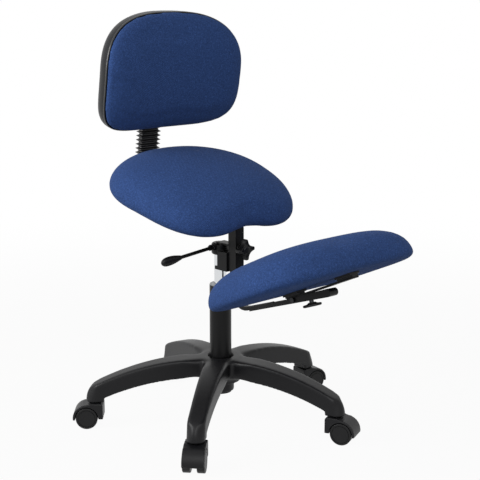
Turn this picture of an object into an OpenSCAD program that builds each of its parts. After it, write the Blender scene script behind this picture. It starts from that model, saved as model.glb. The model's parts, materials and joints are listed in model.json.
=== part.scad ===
// Kneeling stool with a saddle seat, a knee pad on a front arm, a backrest and a five-arm base on twin casters.
// The stool faces -Y, +X is the sitter's left, and the origin lies on the floor under the column.

/* [Base] */
// Distance from the column to each caster's swivel axis
arm_reach = 292; // [250:1:340]
// Height of the top of the hub
hub_top = 157; // [148:1:170]
// Height of the hub's crown over the arms' roots
hub_rise = 1; // [0.5:0.25:2]
// How far an arm's top drops from its root to its tip
arm_top_drop = 53; // [40:1:60]
// Height of the underside of an arm where it leaves the hub
arm_under_z = 112; // [106:1:118]
// How far an arm's underside drops towards its tip
arm_under_drop = 49; // [40:1:50]
// Half width of an arm at the hub
arm_root_half = 28; // [24:1:29]
// Half width of an arm at its tip, also the tip's radius
arm_tip_half = 20; // [17:0.5:23]
// Wall of the hollow arms
arm_wall = 4.5; // [3:0.5:6]
// Thickness of the three ribs along the underside of an arm
arm_rib = 4; // [3:0.5:5]
// Distance of the outer ribs from the middle of an arm
arm_rib_at = 11; // [10:0.5:12]
// Radius of the shoulder over an arm's tip
arm_shoulder = 20; // [12:1:24]
// Outer radius of the hub's skirt
hub_skirt_r = 46; // [43:0.5:47]
// Radius of the web that joins the arms round the hub
hub_web_r = 54; // [52:1:58]
// Radius of the hub's flat crown
hub_crown_r = 47; // [42:1:50]
// How far the skirt hangs below the arms
skirt_drop = 13.5; // [6:0.5:20]
// Outer radius of the boss that grips the column
hub_boss_r = 31; // [29:0.5:33]
// Height of the lower end of the hub's boss
hub_boss_z = 74; // [70:1:80]
// Bearing of the front arm, measured from straight ahead towards the sitter's left
first_arm_deg = -52.44; // [-60:0.01:-45]

/* [Casters] */
// Radius of a caster wheel
wheel_r = 25; // [22:0.5:28]
// Width of one wheel
wheel_w = 17; // [13:0.5:19]
// Half of the gap between the two wheels of a caster
wheel_gap_half = 7; // [6.5:0.25:9]
// Radius of the wheel's rounded tread edge
wheel_edge = 2; // [1:0.25:3]
// Distance from the swivel axis back to the wheels' axle
caster_trail = 18; // [15:0.5:22]
// Height of the top of the caster's housing
caster_top = 60; // [58:0.5:61]
// Distance from the swivel axis to the housing's flat front
caster_front = 19.5; // [16:0.5:22]
// Outer radius of the hood over the wheels
hood_r = 32; // [30:0.5:33]
// Radial space between the wheels and the hood
hood_gap = 1.5; // [1:0.1:2.5]
// Width of the hood
hood_w = 48; // [44:1:52]
// Height of the lower edge of the housing's front
hood_front_z = 23; // [20:0.5:27]
// Height of the hood's rear edge
hood_back_z = 21; // [17:0.5:24]
// Radius of the housing's top front edge
hood_lip = 6; // [3:0.5:9]
// Depth of the ring groove in a wheel's face
wheel_dish = 1.5; // [0.5:0.1:2.5]
// Half thickness of the web between the wheels
caster_web_half = 5.5; // [5.2:0.1:6]
// Radius of the boss around the axle
axle_boss_r = 8; // [6:0.5:10]
// Radius of the wheels' axle
axle_r = 3; // [2.5:0.1:4]
// Radius of the caster's stem in the arm
stem_r = 5.5; // [5:0.1:6]
// Radius of the stem's lower journal in the housing
stem_journal_r = 4; // [3.5:0.1:4.5]
// Length of the stem inside the arm
stem_h = 34; // [25:1:36]
// Depth of the journal below the housing's top
journal_h = 22; // [16:1:24]
// Radius of the stem's collar
stem_collar_r = 10; // [8:0.5:14]
// Thickness of the stem's collar
stem_collar_h = 1; // [0.6:0.1:2]
// Depth of the grip ring's groove round the stem
ring_depth = 0.6; // [0.4:0.1:0.8]
// Height of the grip ring
ring_h = 3; // [2:0.5:4]

/* [Column] */
// Outer radius of the fixed column tube
tube_r = 25; // [24:0.5:26]
// Wall of the column tube
tube_wall = 2; // [1.5:0.25:3]
// Height of the lower end of the column tube
tube_z = 70; // [66:1:72]
// Height of the top of the column tube
tube_top = 326; // [300:1:328]
// Thickness of the column tube's bottom plate
tube_floor = 4; // [3:0.5:5]
// Height of the guide bush's rim above the tube
bush_rim = 2.5; // [1.5:0.5:4]
// Length of the guide bush inside the tube
bush_h = 48; // [40:1:60]
// Outer radius of the chromed gas cylinder
cylinder_r = 14; // [13:0.5:15]
// Wall of the gas cylinder
cylinder_wall = 2; // [1.5:0.25:2.5]
// Height of the lower end of the gas cylinder
cylinder_z = 118; // [116:1:125]
// Height of the top of the gas cylinder
cylinder_top = 408; // [402:1:409]
// Thickness of the gas cylinder's top
cylinder_cap = 12; // [8:1:16]
// Length of the gland in the cylinder's mouth
gland_h = 16; // [12:1:20]
// Radius of the piston rod
rod_r = 5; // [4:0.25:5]
// Height of the lower end of the piston rod
rod_z = 62; // [60:1:64]
// Height of the underside of the piston
piston_z = 236; // [230:1:240]
// Thickness of the piston
piston_h = 12; // [8:1:16]
// Height of the step round the rod that rests on the thrust bearing
rod_shoulder = 2; // [1.5:0.25:3]
// Length of that step
rod_shoulder_h = 3; // [2:0.5:5]
// Depth of the clip's groove in the rod
clip_bite = 1; // [0.6:0.1:1.5]
// Radius of the thrust bearing under the rod's shoulder
bearing_r = 13; // [11:0.5:16]
// Height of the thrust bearing
bearing_h = 8; // [6:0.5:9]
// Thickness of the clip under the column
clip_h = 2; // [1.5:0.25:3]
// Outer radius of the clip
clip_r = 9; // [8:0.5:12]

/* [Bracket] */
// Outer radius of the socket's barrel round the cylinder's top
barrel_r = 20; // [19:0.5:22]
// Height of the lower end of the barrel
barrel_z = 398; // [396:0.5:399]
// Height of the barrel
barrel_h = 27; // [26.5:0.25:30]
// Radius of the barrel's rounded edges
barrel_edge = 5; // [2:0.5:5]
// Thickness of the barrel's closed top
barrel_cap = 1.6; // [1.2:0.1:1.8]
// Distance from the column to the middle of the knee post
post_y = 53; // [50:1:58]
// Half width of the bracket's web
web_half = 17.5; // [16:0.5:20]
// Distance from the column to the web's back edge
web_back = 8; // [6:0.5:10]
// Height of the underside of the fork round the cylinder
fork_z = 365; // [360:1:368]
// Thickness of the fork
fork_h = 8; // [6:0.5:10]
// Height of the top of the bracket's web
web_top = 409; // [404:0.5:412]
// Thickness of the plate that lies on the barrel's top
gusset_h = 3; // [2:0.5:4]
// Half width of that plate
gusset_half = 12; // [10:0.5:14]

/* [Knee post] */
// Outside width of the square sleeve
sleeve_w = 25; // [24:0.5:28]
// Wall of the square sleeve
sleeve_wall = 2.2; // [1.8:0.1:2.3]
// Height of the lower end of the sleeve
sleeve_z = 367; // [362:1:370]
// Outside width of the square post
post_w = 20; // [18:0.5:20]
// Wall of the square post
post_wall = 2; // [1.5:0.1:2.5]
// Height of the lower end of the square post
post_z = 326; // [318:1:330]
// Height of the upper end of the square post
post_top = 446; // [440:1:448]
// Thickness of the bent bar below the post
bar_t = 9; // [7:0.5:11]
// Outer radius of the bent bar's bend
bend_r = 40; // [32:1:44]
// Lowest point of the bent bar
bend_z = 283; // [278:1:288]
// Length of the bent bar inside the post
bar_insert = 60; // [40:1:80]
// Height of the star knob's axis
knob_z = 421; // [416:1:426]
// Radius over the star knob's lobes
knob_r = 24.5; // [20:0.5:28]
// Thickness of the star knob
knob_h = 14; // [10:0.5:18]
// Length of the star knob's neck
knob_neck = 5; // [3:0.5:8]
// Radius of the star knob's neck
knob_neck_r = 9; // [7:0.5:11]
// Radius of the clamp screws
screw_r = 4; // [3:0.25:5]
// Length of the nut boss on the sleeve
boss_h = 5; // [3:0.5:7]
// Radius of the nut boss on the sleeve
boss_r = 8; // [7:0.5:10]

/* [Knee arm] */
// Upward slope of the knee arm
arm_slope = 18.7; // [15:0.1:22]
// Distance from the column to the arm's rear end
knee_arm_y = 110; // [104:1:116]
// Length of the arm
knee_arm_len = 257; // [240:1:270]
// Outside width of the arm
knee_arm_w = 25; // [24:0.5:30]
// Wall of the arm
knee_arm_wall = 2.5; // [2:0.1:2.6]
// Height of the arm's sides at the rear
side_rear = 10; // [9:0.25:10.5]
// Height of the arm's sides at the front, also the width of its rounded end
side_front = 16.5; // [14:0.5:17]
// Share of the arm's length where its sides start to rise
rise_from_share = 0.428; // [0.38:0.002:0.46]
// Share of the arm's length where its sides reach their full height
rise_to_share = 0.876; // [0.8:0.002:0.9]
// Distance along the arm to the tilt bolt
tilt_bolt_at = 144.5; // [140:0.5:150]
// Height of the tilt bolt above the arm's underside
tilt_bolt_up = 7.5; // [7.2:0.1:8]
// Radius of the tilt bolt
tilt_bolt_r = 2.5; // [2:0.1:2.8]
// Radius of the tilt bar's eye round the bolt
tilt_eye_r = 4.5; // [4:0.1:4.6]
// Radius of the tilt bolt's head
tilt_head_r = 5.5; // [4.5:0.25:6]
// Thickness of the tilt bolt's head
tilt_head_h = 4; // [3:0.25:5]
// Distance along the arm to the tilt screw
tilt_screw_at = 186; // [180:0.5:192]
// Radius of the tilt screw
tilt_screw_r = 5; // [4:0.25:5]
// Thickness of the nut welded in the arm
tilt_nut_h = 4; // [3:0.5:5]
// Radius of the nut welded in the arm
tilt_nut_r = 8; // [7:0.25:9]
// Length of the tilt knob's wing
wing_l = 41; // [34:1:48]
// Width of the tilt knob's wing
wing_w = 12; // [10:0.5:14]
// Thickness of the tilt knob's wing
wing_h = 8; // [6:0.5:8]
// Radius of the tilt knob's hub
wing_hub_r = 7.5; // [6.5:0.25:9]
// Height of the tilt knob's hub
wing_hub_h = 9; // [8:0.5:10]
// Distance from the arm's underside down to the tilt knob
wing_drop = 5; // [4.8:0.1:7]

/* [Knee pad] */
// Half width of the knee pad
knee_half = 230.9; // [200:0.1:260]
// Length of the knee pad in front of its middle
knee_front = 152.8; // [130:0.1:175]
// Length of the knee pad behind its middle
knee_back = 149.9; // [130:0.1:170]
// Height of the knee cushion's crown
knee_crown = 66; // [45:1:80]
// Depth of the knee cushion below its middle plane
knee_under = 13.1; // [12:0.1:18]
// Upward tilt of the knee pad
knee_tilt = 24.3; // [22:0.1:26]
// Distance from the column to the knee pad's middle
knee_y = 292.3; // [288:0.1:296]
// Height of the knee pad's middle
knee_z = 393.7; // [390:0.1:397]
// Thickness of the knee pad's board
knee_board_t = 11; // [8:0.5:12]
// Height of the blocks under the knee pad
block_h = 9; // [7:0.5:10]
// Height of the blocks' wide upper part
block_step = 5; // [4:0.25:5.5]
// Half width of the blocks under the knee pad
block_half = 15; // [13:0.5:24]
// Length of each block under the knee pad
block_l = 46; // [36:1:48]
// Thickness of the tilt bar
tilt_bar_t = 4.5; // [3:0.25:5]
// Width of the tilt bar
tilt_bar_w = 18; // [14:0.5:19]
// Radius of the wood screws' shanks
wood_screw_r = 2.5; // [2:0.1:3]
// Radius of the wood screws' heads
wood_head_r = 4.5; // [4:0.1:5]
// Thickness of the wood screws' heads
wood_head_h = 2.4; // [1.8:0.1:2.6]

/* [Seat] */
// Half width of the seat
seat_half = 229; // [200:1:260]
// Length of the seat in front of its middle
seat_front = 181.5; // [160:0.5:200]
// Length of the seat behind its middle
seat_back = 179; // [160:0.5:185]
// Thickness of the seat cushion at its middle, without its crown
seat_t = 78.5; // [60:0.5:90]
// Extra height of the seat's crown
seat_crown = 12; // [6:0.5:20]
// Depth of the notch between the thighs
seat_notch = 13.3; // [5:0.1:25]
// Half width of the notch between the thighs
notch_w = 60; // [40:1:80]
// How far the seat's sides droop
seat_side_drop = 19.5; // [10:0.5:30]
// How far the seat's front lobes droop
seat_front_drop = 28; // [15:0.5:36]
// How far the pommel between the lobes rises again
pommel_rise = 9; // [0:0.5:16]
// How far the seat's rear edge drops
seat_back_drop = 12; // [5:0.5:18]
// Forward tilt of the seat
seat_tilt = 15.4; // [12:0.1:18]
// Distance behind the column of the seat's middle
seat_y = 57; // [50:1:62]
// Height of the seat's middle
seat_z = 550; // [546:1:560]
// Thickness of the seat board
seat_board_t = 11; // [8:0.5:14]
// Thickness of the seat plate
seat_plate_t = 4; // [3:0.5:6]
// Half width of the seat plate
seat_plate_half = 62; // [50:1:80]
// Length of the seat plate in front of the seat's middle
seat_plate_front = 135; // [128:1:135]
// Length of the seat plate behind the seat's middle
seat_plate_back = 96; // [85:1:105]
// Height of the seat plate's side ribs
plate_rib_h = 14; // [8:1:18]

/* [Release lever] */
// Distance from the column to the lever's pivot
lever_x = 24; // [23.5:0.1:26]
// Height of the lever's pivot
lever_z = 416; // [415:0.1:417]
// Downward slope of the lever at rest
lever_slope = 5; // [3:0.5:7]
// Radius of the lever's rod
lever_r = 4; // [3:0.1:4.2]
// Length of the rod from its pivot to the grip
lever_l = 94; // [80:1:120]
// Length of the grip
grip_l = 55; // [45:1:70]
// Height of the grip
grip_h = 20; // [16:0.5:26]
// Thickness of the grip
grip_t = 13; // [11:0.5:18]
// Radius of the lever's pivot pin
lever_pin_r = 1.5; // [1:0.1:2]
// Radius of the lever's ball
lever_ball_r = 5; // [4.5:0.1:5.3]
// Radial room round the lever in the barrel's side
lever_room = 1.3; // [1.1:0.1:2]
// Length of the collar beside the lever's ball
lever_collar = 4; // [2:0.5:6]
// Thickness of the ears that hold the lever's pin
ear_t = 3; // [2:0.25:4]
// Radius of the valve pin in the cylinder's top
valve_r = 3; // [2.5:0.1:3.5]
// Length of the valve pin
valve_h = 16; // [12:0.5:20]

/* [Back spine] */
// Thickness of the spine bar
spine_t = 8; // [6:0.5:9]
// Width of the spine bar
spine_w = 38; // [30:1:40]
// Centre-line radius of the spine bar's bend
spine_bend = 30; // [24:1:36]
// Room between the spine's centre line and the inner face of the backrest's shell behind it
spine_room = 14.1; // [13.5:0.1:16]
// Height of the spine's upper end along the backrest, from its middle
spine_up = 78; // [70:1:84]
// Width of the bellows over its ribs
bellows_w = 54; // [50:1:56]
// Depth of the bellows over its ribs
bellows_d = 25; // [24:0.5:27]
// Depth of each rib of the bellows
rib_depth = 5; // [3:0.5:5]
// Distance from one rib to the next
rib_pitch = 12; // [8:0.5:16]
// Wall of the bellows at the foot of its ribs
bellows_wall = 1.5; // [1:0.25:2]
// Distance from the backrest's middle down to the lower end of the bellows
bellows_low = 220; // [210:1:222]
// Distance from the backrest's middle down to the upper end of the bellows
bellows_high = 128.5; // [126:0.5:130]

/* [Backrest] */
// Half width of the backrest
back_half = 199.4; // [170:0.1:225]
// Height of the backrest above its middle
back_up = 136.2; // [120:0.1:155]
// Height of the backrest below its middle
back_down = 133.4; // [131:0.1:150]
// Depth of the back cushion
back_cushion_d = 36.4; // [28:0.1:46]
// Depth of the shell behind the cushion
shell_d = 51.7; // [48:0.1:56]
// Wall of the shell
shell_wall = 3; // [2.5:0.1:4]
// How far the shell's middle bulges back over the spine
shell_bulge = 26; // [24:0.5:30]
// Half width of the shell's bulge
bulge_w = 70; // [62:1:80]
// How far the backrest's sides curve forward
back_curve = 21.7; // [10:0.1:30]
// How far the backrest's top and bottom curve back
back_roll = 15.8; // [5:0.1:20]
// Step from the shell's rim in to the cushion
shell_rim = 2.9; // [2:0.1:4]
// Forward lean of the backrest
back_lean = 7.5; // [5:0.1:9]
// Distance behind the column of the backrest's middle
back_y = 173.2; // [168:0.1:178]
// Height of the backrest's middle
back_z = 799.5; // [790:0.1:810]
// Thickness of the backrest's board
back_board_t = 9; // [6:0.5:10]
// Half of the carrier's height
carrier_half = 40; // [30:1:50]
// Wall of the carrier that slides on the spine
carrier_wall = 3; // [2.5:0.1:3.2]
// Width of the carrier's flanges
flange_w = 16; // [12:0.5:20]
// Depth of the gap between the carrier's flanges and the board
flange_gap = 1.5; // [1.2:0.1:2.5]
// Radius over the rear knob's lobes
back_knob_r = 22; // [18:0.5:26]
// Thickness of the rear knob
back_knob_h = 15; // [10:0.5:20]

/* [Fits] */
// Radial running clearance of a shaft in its hole
run_fit = 0.05; // [0.03:0.01:0.08]
// Gap between pieces that lie face to face
face_gap = 0.3; // [0.2:0.05:0.4]
// Radial room round a screw that passes through a cover
pass_room = 1; // [0.5:0.1:2]
// Sliding clearance on each side of a bar in its guide
slide_fit = 0.3; // [0.2:0.05:0.4]

/* [Hidden] */
$fn = 48;

// Length that a cut runs past the face it opens
cut_over = 1;
arm_count = 5;
arm_step = 360 / arm_count;
// Bearing in which each caster trails, in the order of the arms
caster_deg = [-49, 23, 81, 170, 228];
paint = "#2b2b2c";
moulded = "#343435";
bright = "#c9ccd0";
zinc = "#9a9da1";
cloth = "#2c3f68";
ply = "#b08d5c";
trim = "#424552";

function signed_pow(value, power) = sign(value) * pow(abs(value), power);
function bell(x, width) = exp(-pow(x / width, 2));
function dome(rho, power) = sqrt(max(0, 1 - pow(rho, power)));
function bearing_dir(deg) = [sin(deg), -cos(deg)];
function arm_deg(k) = first_arm_deg + arm_step * k;
function arc(centre, radius, from, to, steps) =
    [for (i = [0:steps]) centre + radius * [cos(from + (to - from) * i / steps), sin(from + (to - from) * i / steps)]];

// Extrudes a Y-Z outline evenly to both sides of the middle plane
module side_slab(width) {
    rotate([90, 0, 90]) linear_extrude(width, center = true) children();
}

// Turns a piece drawn with its tail along +X to a bearing
module at_bearing(deg) {
    rotate([0, 0, deg - 90]) children();
}

// Closed solid through rings of equal count, fanned to a point at each end, with triangular faces
module ring_solid(rings, first_tip, last_tip) {
    n = len(rings[0]);
    m = len(rings);
    sides = [for (k = [0:m - 2], i = [0:n - 1], half = [0, 1]) half == 0
        ? [k * n + i, (k + 1) * n + (i + 1) % n, k * n + (i + 1) % n]
        : [k * n + i, (k + 1) * n + i, (k + 1) * n + (i + 1) % n]];
    first_fan = [for (i = [0:n - 1]) [m * n, i, (i + 1) % n]];
    last_fan = [for (i = [0:n - 1]) [m * n + 1, (m - 1) * n + (i + 1) % n, (m - 1) * n + i]];
    polyhedron(concat([for (ring = rings, p = ring) p], [first_tip, last_tip]), concat(sides, first_fan, last_fan));
}

// Outline of a pad in plan, with its front towards -Y; a is the turn, n_front and n_back its squareness
function pad_point(a, half, front, back, n_front, n_back) =
    let (n = sin(a) < 0 ? n_front : n_back)
    [half * signed_pow(cos(a), 2 / n), (sin(a) < 0 ? front : back) * signed_pow(sin(a), 2 / n)];

// Base

arm_start = 60;
arm_bend_power = 2.05;
tip_front = arm_reach + arm_tip_half - arm_shoulder;
function arm_share(r) = max(0, (r - arm_start) / (arm_reach - arm_start));
function arm_top(r) = hub_top - hub_rise - arm_top_drop * pow(arm_share(r), arm_bend_power);
function arm_under(r) = arm_under_z - arm_under_drop * pow(arm_share(r), arm_bend_power);
arm_steps = 12;
collar_z = caster_top + face_gap + stem_collar_h;
inner_tip = arm_reach - arm_tip_half;
// Where the arms end inside the hub's ring
arm_inside = hub_skirt_r - arm_wall / 2;

module arm_side() {
    shoulder_z = arm_top(arm_reach) - arm_shoulder;
    polygon(concat(
        [[arm_inside, arm_under(arm_start)], [arm_inside, arm_top(arm_start)]],
        [for (i = [0:arm_steps]) let (r = arm_start + (arm_reach - arm_start) * i / arm_steps) [r, arm_top(r)]],
        arc([tip_front, shoulder_z], arm_shoulder, 60, 0, 5),
        [[arm_reach + arm_tip_half, collar_z], [inner_tip, collar_z]],
        [for (i = [0:arm_steps]) let (r = inner_tip - (inner_tip - arm_start) * i / arm_steps) [r, arm_under(r)]]));
}

module arm_plan(inset) {
    polygon(concat(
        [[arm_inside, arm_root_half - inset], [arm_inside, inset - arm_root_half]],
        [for (i = [0:arm_steps]) let (r = arm_start + (arm_reach - arm_start) * i / arm_steps)
            [r, inset - arm_half(r)]],
        arc([arm_reach, 0], arm_tip_half - inset, -80, 80, 12),
        [for (i = [arm_steps:-1:0]) let (r = arm_start + (arm_reach - arm_start) * i / arm_steps)
            [r, arm_half(r) - inset]]));
}
function arm_half(r) = arm_tip_half + (arm_root_half - arm_tip_half) * pow(1 - min(1, arm_share(r)), 1.5);

module arm_hollow_side() {
    hollow_end = inner_tip - arm_wall;
    hollow_start = arm_start + arm_wall;
    polygon(concat(
        [for (i = [0:arm_steps]) let (r = hollow_start + (hollow_end - hollow_start) * i / arm_steps)
            [r, arm_top(r) - arm_wall]],
        [for (i = [arm_steps:-1:0]) let (r = hollow_start + (hollow_end - hollow_start) * i / arm_steps)
            [r, arm_under(r) - cut_over]]));
}

module base_arm() {
    difference() {
        intersection() {
            rotate([90, 0, 0]) linear_extrude(2 * arm_root_half, center = true) arm_side();
            translate([0, 0, collar_z - cut_over]) linear_extrude(hub_top) arm_plan(0);
        }
        intersection() {
            rotate([90, 0, 0]) linear_extrude(2 * arm_root_half, center = true) arm_hollow_side();
            translate([0, 0, collar_z - cut_over]) linear_extrude(hub_top) difference() {
                arm_plan(arm_wall);
                for (side = [-1:1]) translate([0, side * arm_rib_at])
                    square([2 * arm_reach, arm_rib], center = true);
            }
        }
        translate([arm_reach, 0, collar_z - cut_over]) cylinder(r = stem_r + run_fit, h = stem_h + 2 * cut_over);
    }
}

// Turned middle of the base: the boss, the groove round it, the skirt, the web between the arms and the crown
module hub() {
    pocket_top = hub_top - 3 * arm_wall;
    skirt_z = arm_under_z - skirt_drop;
    web_z = arm_under_z - hub_rise;
    rotate_extrude() polygon([[0, hub_boss_z], [hub_boss_r, hub_boss_z], [hub_boss_r, pocket_top],
        [hub_skirt_r - arm_wall, pocket_top], [hub_skirt_r - arm_wall, skirt_z], [hub_skirt_r, skirt_z],
        [hub_skirt_r, web_z], [hub_web_r, web_z], [hub_web_r, hub_top - 2 * hub_rise], [hub_crown_r, hub_top],
        [0, hub_top]]);
}

module star_base() {
    color(moulded) difference() {
        union() {
            hub();
            for (k = [0:arm_count - 1]) at_bearing(arm_deg(k)) base_arm();
        }
        translate([0, 0, hub_boss_z - cut_over]) cylinder(r = tube_r + run_fit, h = hub_top);
    }
}

// Casters

well_r = wheel_r + hood_gap;
stem_top = collar_z + stem_h;

module caster_stem() {
    groove_z = stem_top - 3 * ring_h;
    difference() {
        union() {
            translate([0, 0, caster_top - journal_h]) cylinder(r = stem_journal_r, h = journal_h + cut_over);
            translate([0, 0, caster_top + face_gap]) cylinder(r = stem_collar_r, h = collar_z - caster_top - face_gap);
            translate([0, 0, collar_z - face_gap]) cylinder(r = stem_r, h = stem_h + face_gap);
        }
        translate([0, 0, groove_z]) difference() {
            cylinder(r = stem_r + cut_over, h = ring_h);
            translate([0, 0, -cut_over]) cylinder(r = stem_r - ring_depth, h = ring_h + 2 * cut_over);
        }
    }
    translate([0, 0, groove_z + run_fit]) difference() {
        cylinder(r = stem_r, h = ring_h - 2 * run_fit);
        translate([0, 0, -cut_over]) cylinder(r = stem_r - ring_depth + run_fit, h = ring_h + 2 * cut_over);
        translate([0, -ring_h / 2, -cut_over]) cube([2 * stem_r, ring_h, ring_h + 2 * cut_over]);
    }
}

module caster_stems() {
    color(zinc) for (k = [0:arm_count - 1])
        at_bearing(arm_deg(k)) translate([arm_reach, 0, 0]) caster_stem();
}

// Places a piece of a caster, drawn with its swivel axis at the origin and its wheels towards +X
module at_caster(k) {
    place = arm_reach * bearing_dir(arm_deg(k));
    translate([place[0], place[1], 0]) at_bearing(caster_deg[k]) children();
}

module hood_side() {
    polygon(concat(
        arc([caster_trail, wheel_r], hood_r, asin((hood_back_z - wheel_r) / hood_r), 86, 14),
        [[caster_trail / 2, caster_top], [hood_lip - caster_front, caster_top]],
        arc([hood_lip - caster_front, caster_top - hood_lip], hood_lip, 100, 180, 4),
        [[-caster_front, hood_front_z], [caster_trail, hood_front_z], [caster_trail + well_r, hood_back_z]]));
}

module caster_housing() {
    difference() {
        rotate([90, 0, 0]) linear_extrude(hood_w, center = true) hood_side();
        for (side = [-1, 1]) translate([caster_trail, side * (caster_web_half + hood_w / 2), wheel_r])
            rotate([90, 0, 0]) cylinder(r = well_r, h = hood_w, center = true);
        translate([caster_trail, 0, wheel_r]) rotate([90, 0, 0])
            cylinder(r = axle_r + run_fit, h = hood_w, center = true);
        translate([0, 0, caster_top - journal_h - face_gap])
            cylinder(r = stem_journal_r + run_fit, h = journal_h + 2 * cut_over);
    }
    translate([caster_trail, 0, wheel_r]) rotate([90, 0, 0]) difference() {
        cylinder(r = axle_boss_r, h = 2 * caster_web_half, center = true);
        cylinder(r = axle_r + run_fit, h = hood_w, center = true);
    }
}

module caster_axle() {
    axle_half = wheel_gap_half + wheel_w - 2 * wheel_edge - face_gap;
    translate([caster_trail, 0, wheel_r]) rotate([90, 0, 0]) cylinder(r = axle_r, h = 2 * axle_half, center = true);
}

module caster_body(k) {
    at_caster(k) {
        color(moulded) caster_housing();
        color(zinc) caster_axle();
    }
}

module wheel_section() {
    difference() {
        union() {
            translate([0, wheel_edge]) square([wheel_r, wheel_w - 2 * wheel_edge]);
            square([wheel_r - wheel_edge, wheel_w]);
            for (y = [wheel_edge, wheel_w - wheel_edge]) intersection() {
                translate([wheel_r - wheel_edge, y]) circle(r = wheel_edge);
                square([wheel_r, wheel_w]);
            }
        }
        translate([wheel_r - 3 * wheel_edge, wheel_w - wheel_dish]) square([wheel_edge / 2, 2 * wheel_dish]);
        translate([-cut_over, -cut_over]) square([axle_r + run_fit + cut_over, wheel_w - 2 * wheel_edge + cut_over]);
    }
}

module caster_wheel(k, side) {
    color(moulded) at_caster(k) translate([caster_trail, side * wheel_gap_half, wheel_r])
        rotate([side > 0 ? -90 : 90, 0, 0]) rotate_extrude($fn = 96) wheel_section();
}

// Column

module column_tube() {
    color(paint) difference() {
        translate([0, 0, tube_z]) cylinder(r = tube_r, h = tube_top - tube_z);
        translate([0, 0, tube_z + tube_floor]) cylinder(r = tube_r - tube_wall, h = tube_top);
        translate([0, 0, tube_z - cut_over]) cylinder(r = rod_r + pass_room, h = tube_floor + 2 * cut_over);
    }
}

module column_bush() {
    color("#8d9094") difference() {
        union() {
            translate([0, 0, tube_top - bush_h]) cylinder(r = tube_r - tube_wall - run_fit, h = bush_h);
            translate([0, 0, tube_top]) cylinder(r = tube_r - tube_wall / 2, h = bush_rim);
        }
        translate([0, 0, tube_top - bush_h - cut_over]) cylinder(r = cylinder_r + run_fit, h = bush_h + 2 * bush_rim);
    }
}

module thrust_bearing() {
    race = bearing_h / 4;
    ball_r = race;
    floor_z = tube_z + tube_floor;
    color(zinc) {
        for (z = [floor_z, floor_z + bearing_h - race]) translate([0, 0, z]) difference() {
            cylinder(r = bearing_r, h = race);
            translate([0, 0, -cut_over]) cylinder(r = rod_r + run_fit, h = race + 2 * cut_over);
        }
        for (i = [0:7]) rotate([0, 0, 45 * i]) translate([(bearing_r + rod_r) / 2, 0, floor_z + bearing_h / 2])
            sphere(r = ball_r - run_fit);
    }
}

module retaining_clip() {
    color(zinc) translate([0, 0, tube_z - face_gap - clip_h]) difference() {
        cylinder(r = clip_r, h = clip_h);
        translate([0, 0, -cut_over]) cylinder(r = rod_r - clip_bite, h = clip_h + 2 * cut_over);
        translate([0, -rod_r / 2, -cut_over]) cube([2 * clip_r, rod_r, clip_h + 2 * cut_over]);
    }
}

module piston_rod() {
    groove_z = tube_z - face_gap - clip_h - run_fit;
    shoulder_z = tube_z + tube_floor + bearing_h + face_gap;
    color(bright) difference() {
        union() {
            translate([0, 0, rod_z]) cylinder(r = rod_r, h = piston_z + piston_h - rod_z);
            translate([0, 0, shoulder_z]) cylinder(r = rod_r + rod_shoulder, h = rod_shoulder_h);
        }
        translate([0, 0, groove_z]) difference() {
            cylinder(r = rod_r + cut_over, h = clip_h + 2 * run_fit);
            translate([0, 0, -cut_over]) cylinder(r = rod_r - clip_bite - run_fit, h = clip_h + 3 * cut_over);
        }
    }
}

module piston() {
    color(zinc) translate([0, 0, piston_z]) difference() {
        cylinder(r = cylinder_r - cylinder_wall - run_fit, h = piston_h);
        translate([0, 0, -cut_over]) cylinder(r = rod_r + run_fit, h = piston_h + 2 * cut_over);
    }
}

module gas_cylinder() {
    color(bright) difference() {
        translate([0, 0, cylinder_z]) cylinder(r = cylinder_r, h = cylinder_top - cylinder_z);
        translate([0, 0, cylinder_z - cut_over])
            cylinder(r = cylinder_r - cylinder_wall, h = cylinder_top - cylinder_cap - cylinder_z + cut_over);
        translate([0, 0, cylinder_top - cylinder_cap - cut_over])
            cylinder(r = valve_r + run_fit, h = cylinder_cap + 2 * cut_over);
    }
}

module cylinder_gland() {
    color(moulded) translate([0, 0, cylinder_z]) difference() {
        cylinder(r = cylinder_r - cylinder_wall - run_fit, h = gland_h);
        translate([0, 0, -cut_over]) cylinder(r = rod_r + run_fit, h = gland_h + 2 * cut_over);
    }
}

// Bracket under the seat

seat_under = -42;
plate_top = seat_under - face_gap;

module on_seat() {
    translate([0, seat_y, seat_z]) rotate([seat_tilt, 0, 0]) children();
}

module barrel() {
    rotate_extrude() difference() {
        union() {
            square([barrel_r - barrel_edge, barrel_h]);
            translate([0, barrel_edge]) square([barrel_r, barrel_h - 2 * barrel_edge]);
            for (y = [barrel_edge, barrel_h - barrel_edge]) translate([barrel_r - barrel_edge, y])
                circle(r = barrel_edge);
        }
        translate([-cut_over - barrel_r, -cut_over]) square([barrel_r + cut_over, barrel_h + 2 * cut_over]);
    }
}

module lever_ears() {
    ear_y = lever_ball_r + face_gap;
    reach = lever_x + lever_ball_r * 0.8 - barrel_r * 0.7;
    for (side = [0, 1]) mirror([0, side, 0]) translate([-barrel_r * 0.7 - reach, ear_y, lever_z - lever_ball_r])
        cube([reach, ear_t, 2 * lever_ball_r]);
}

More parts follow.
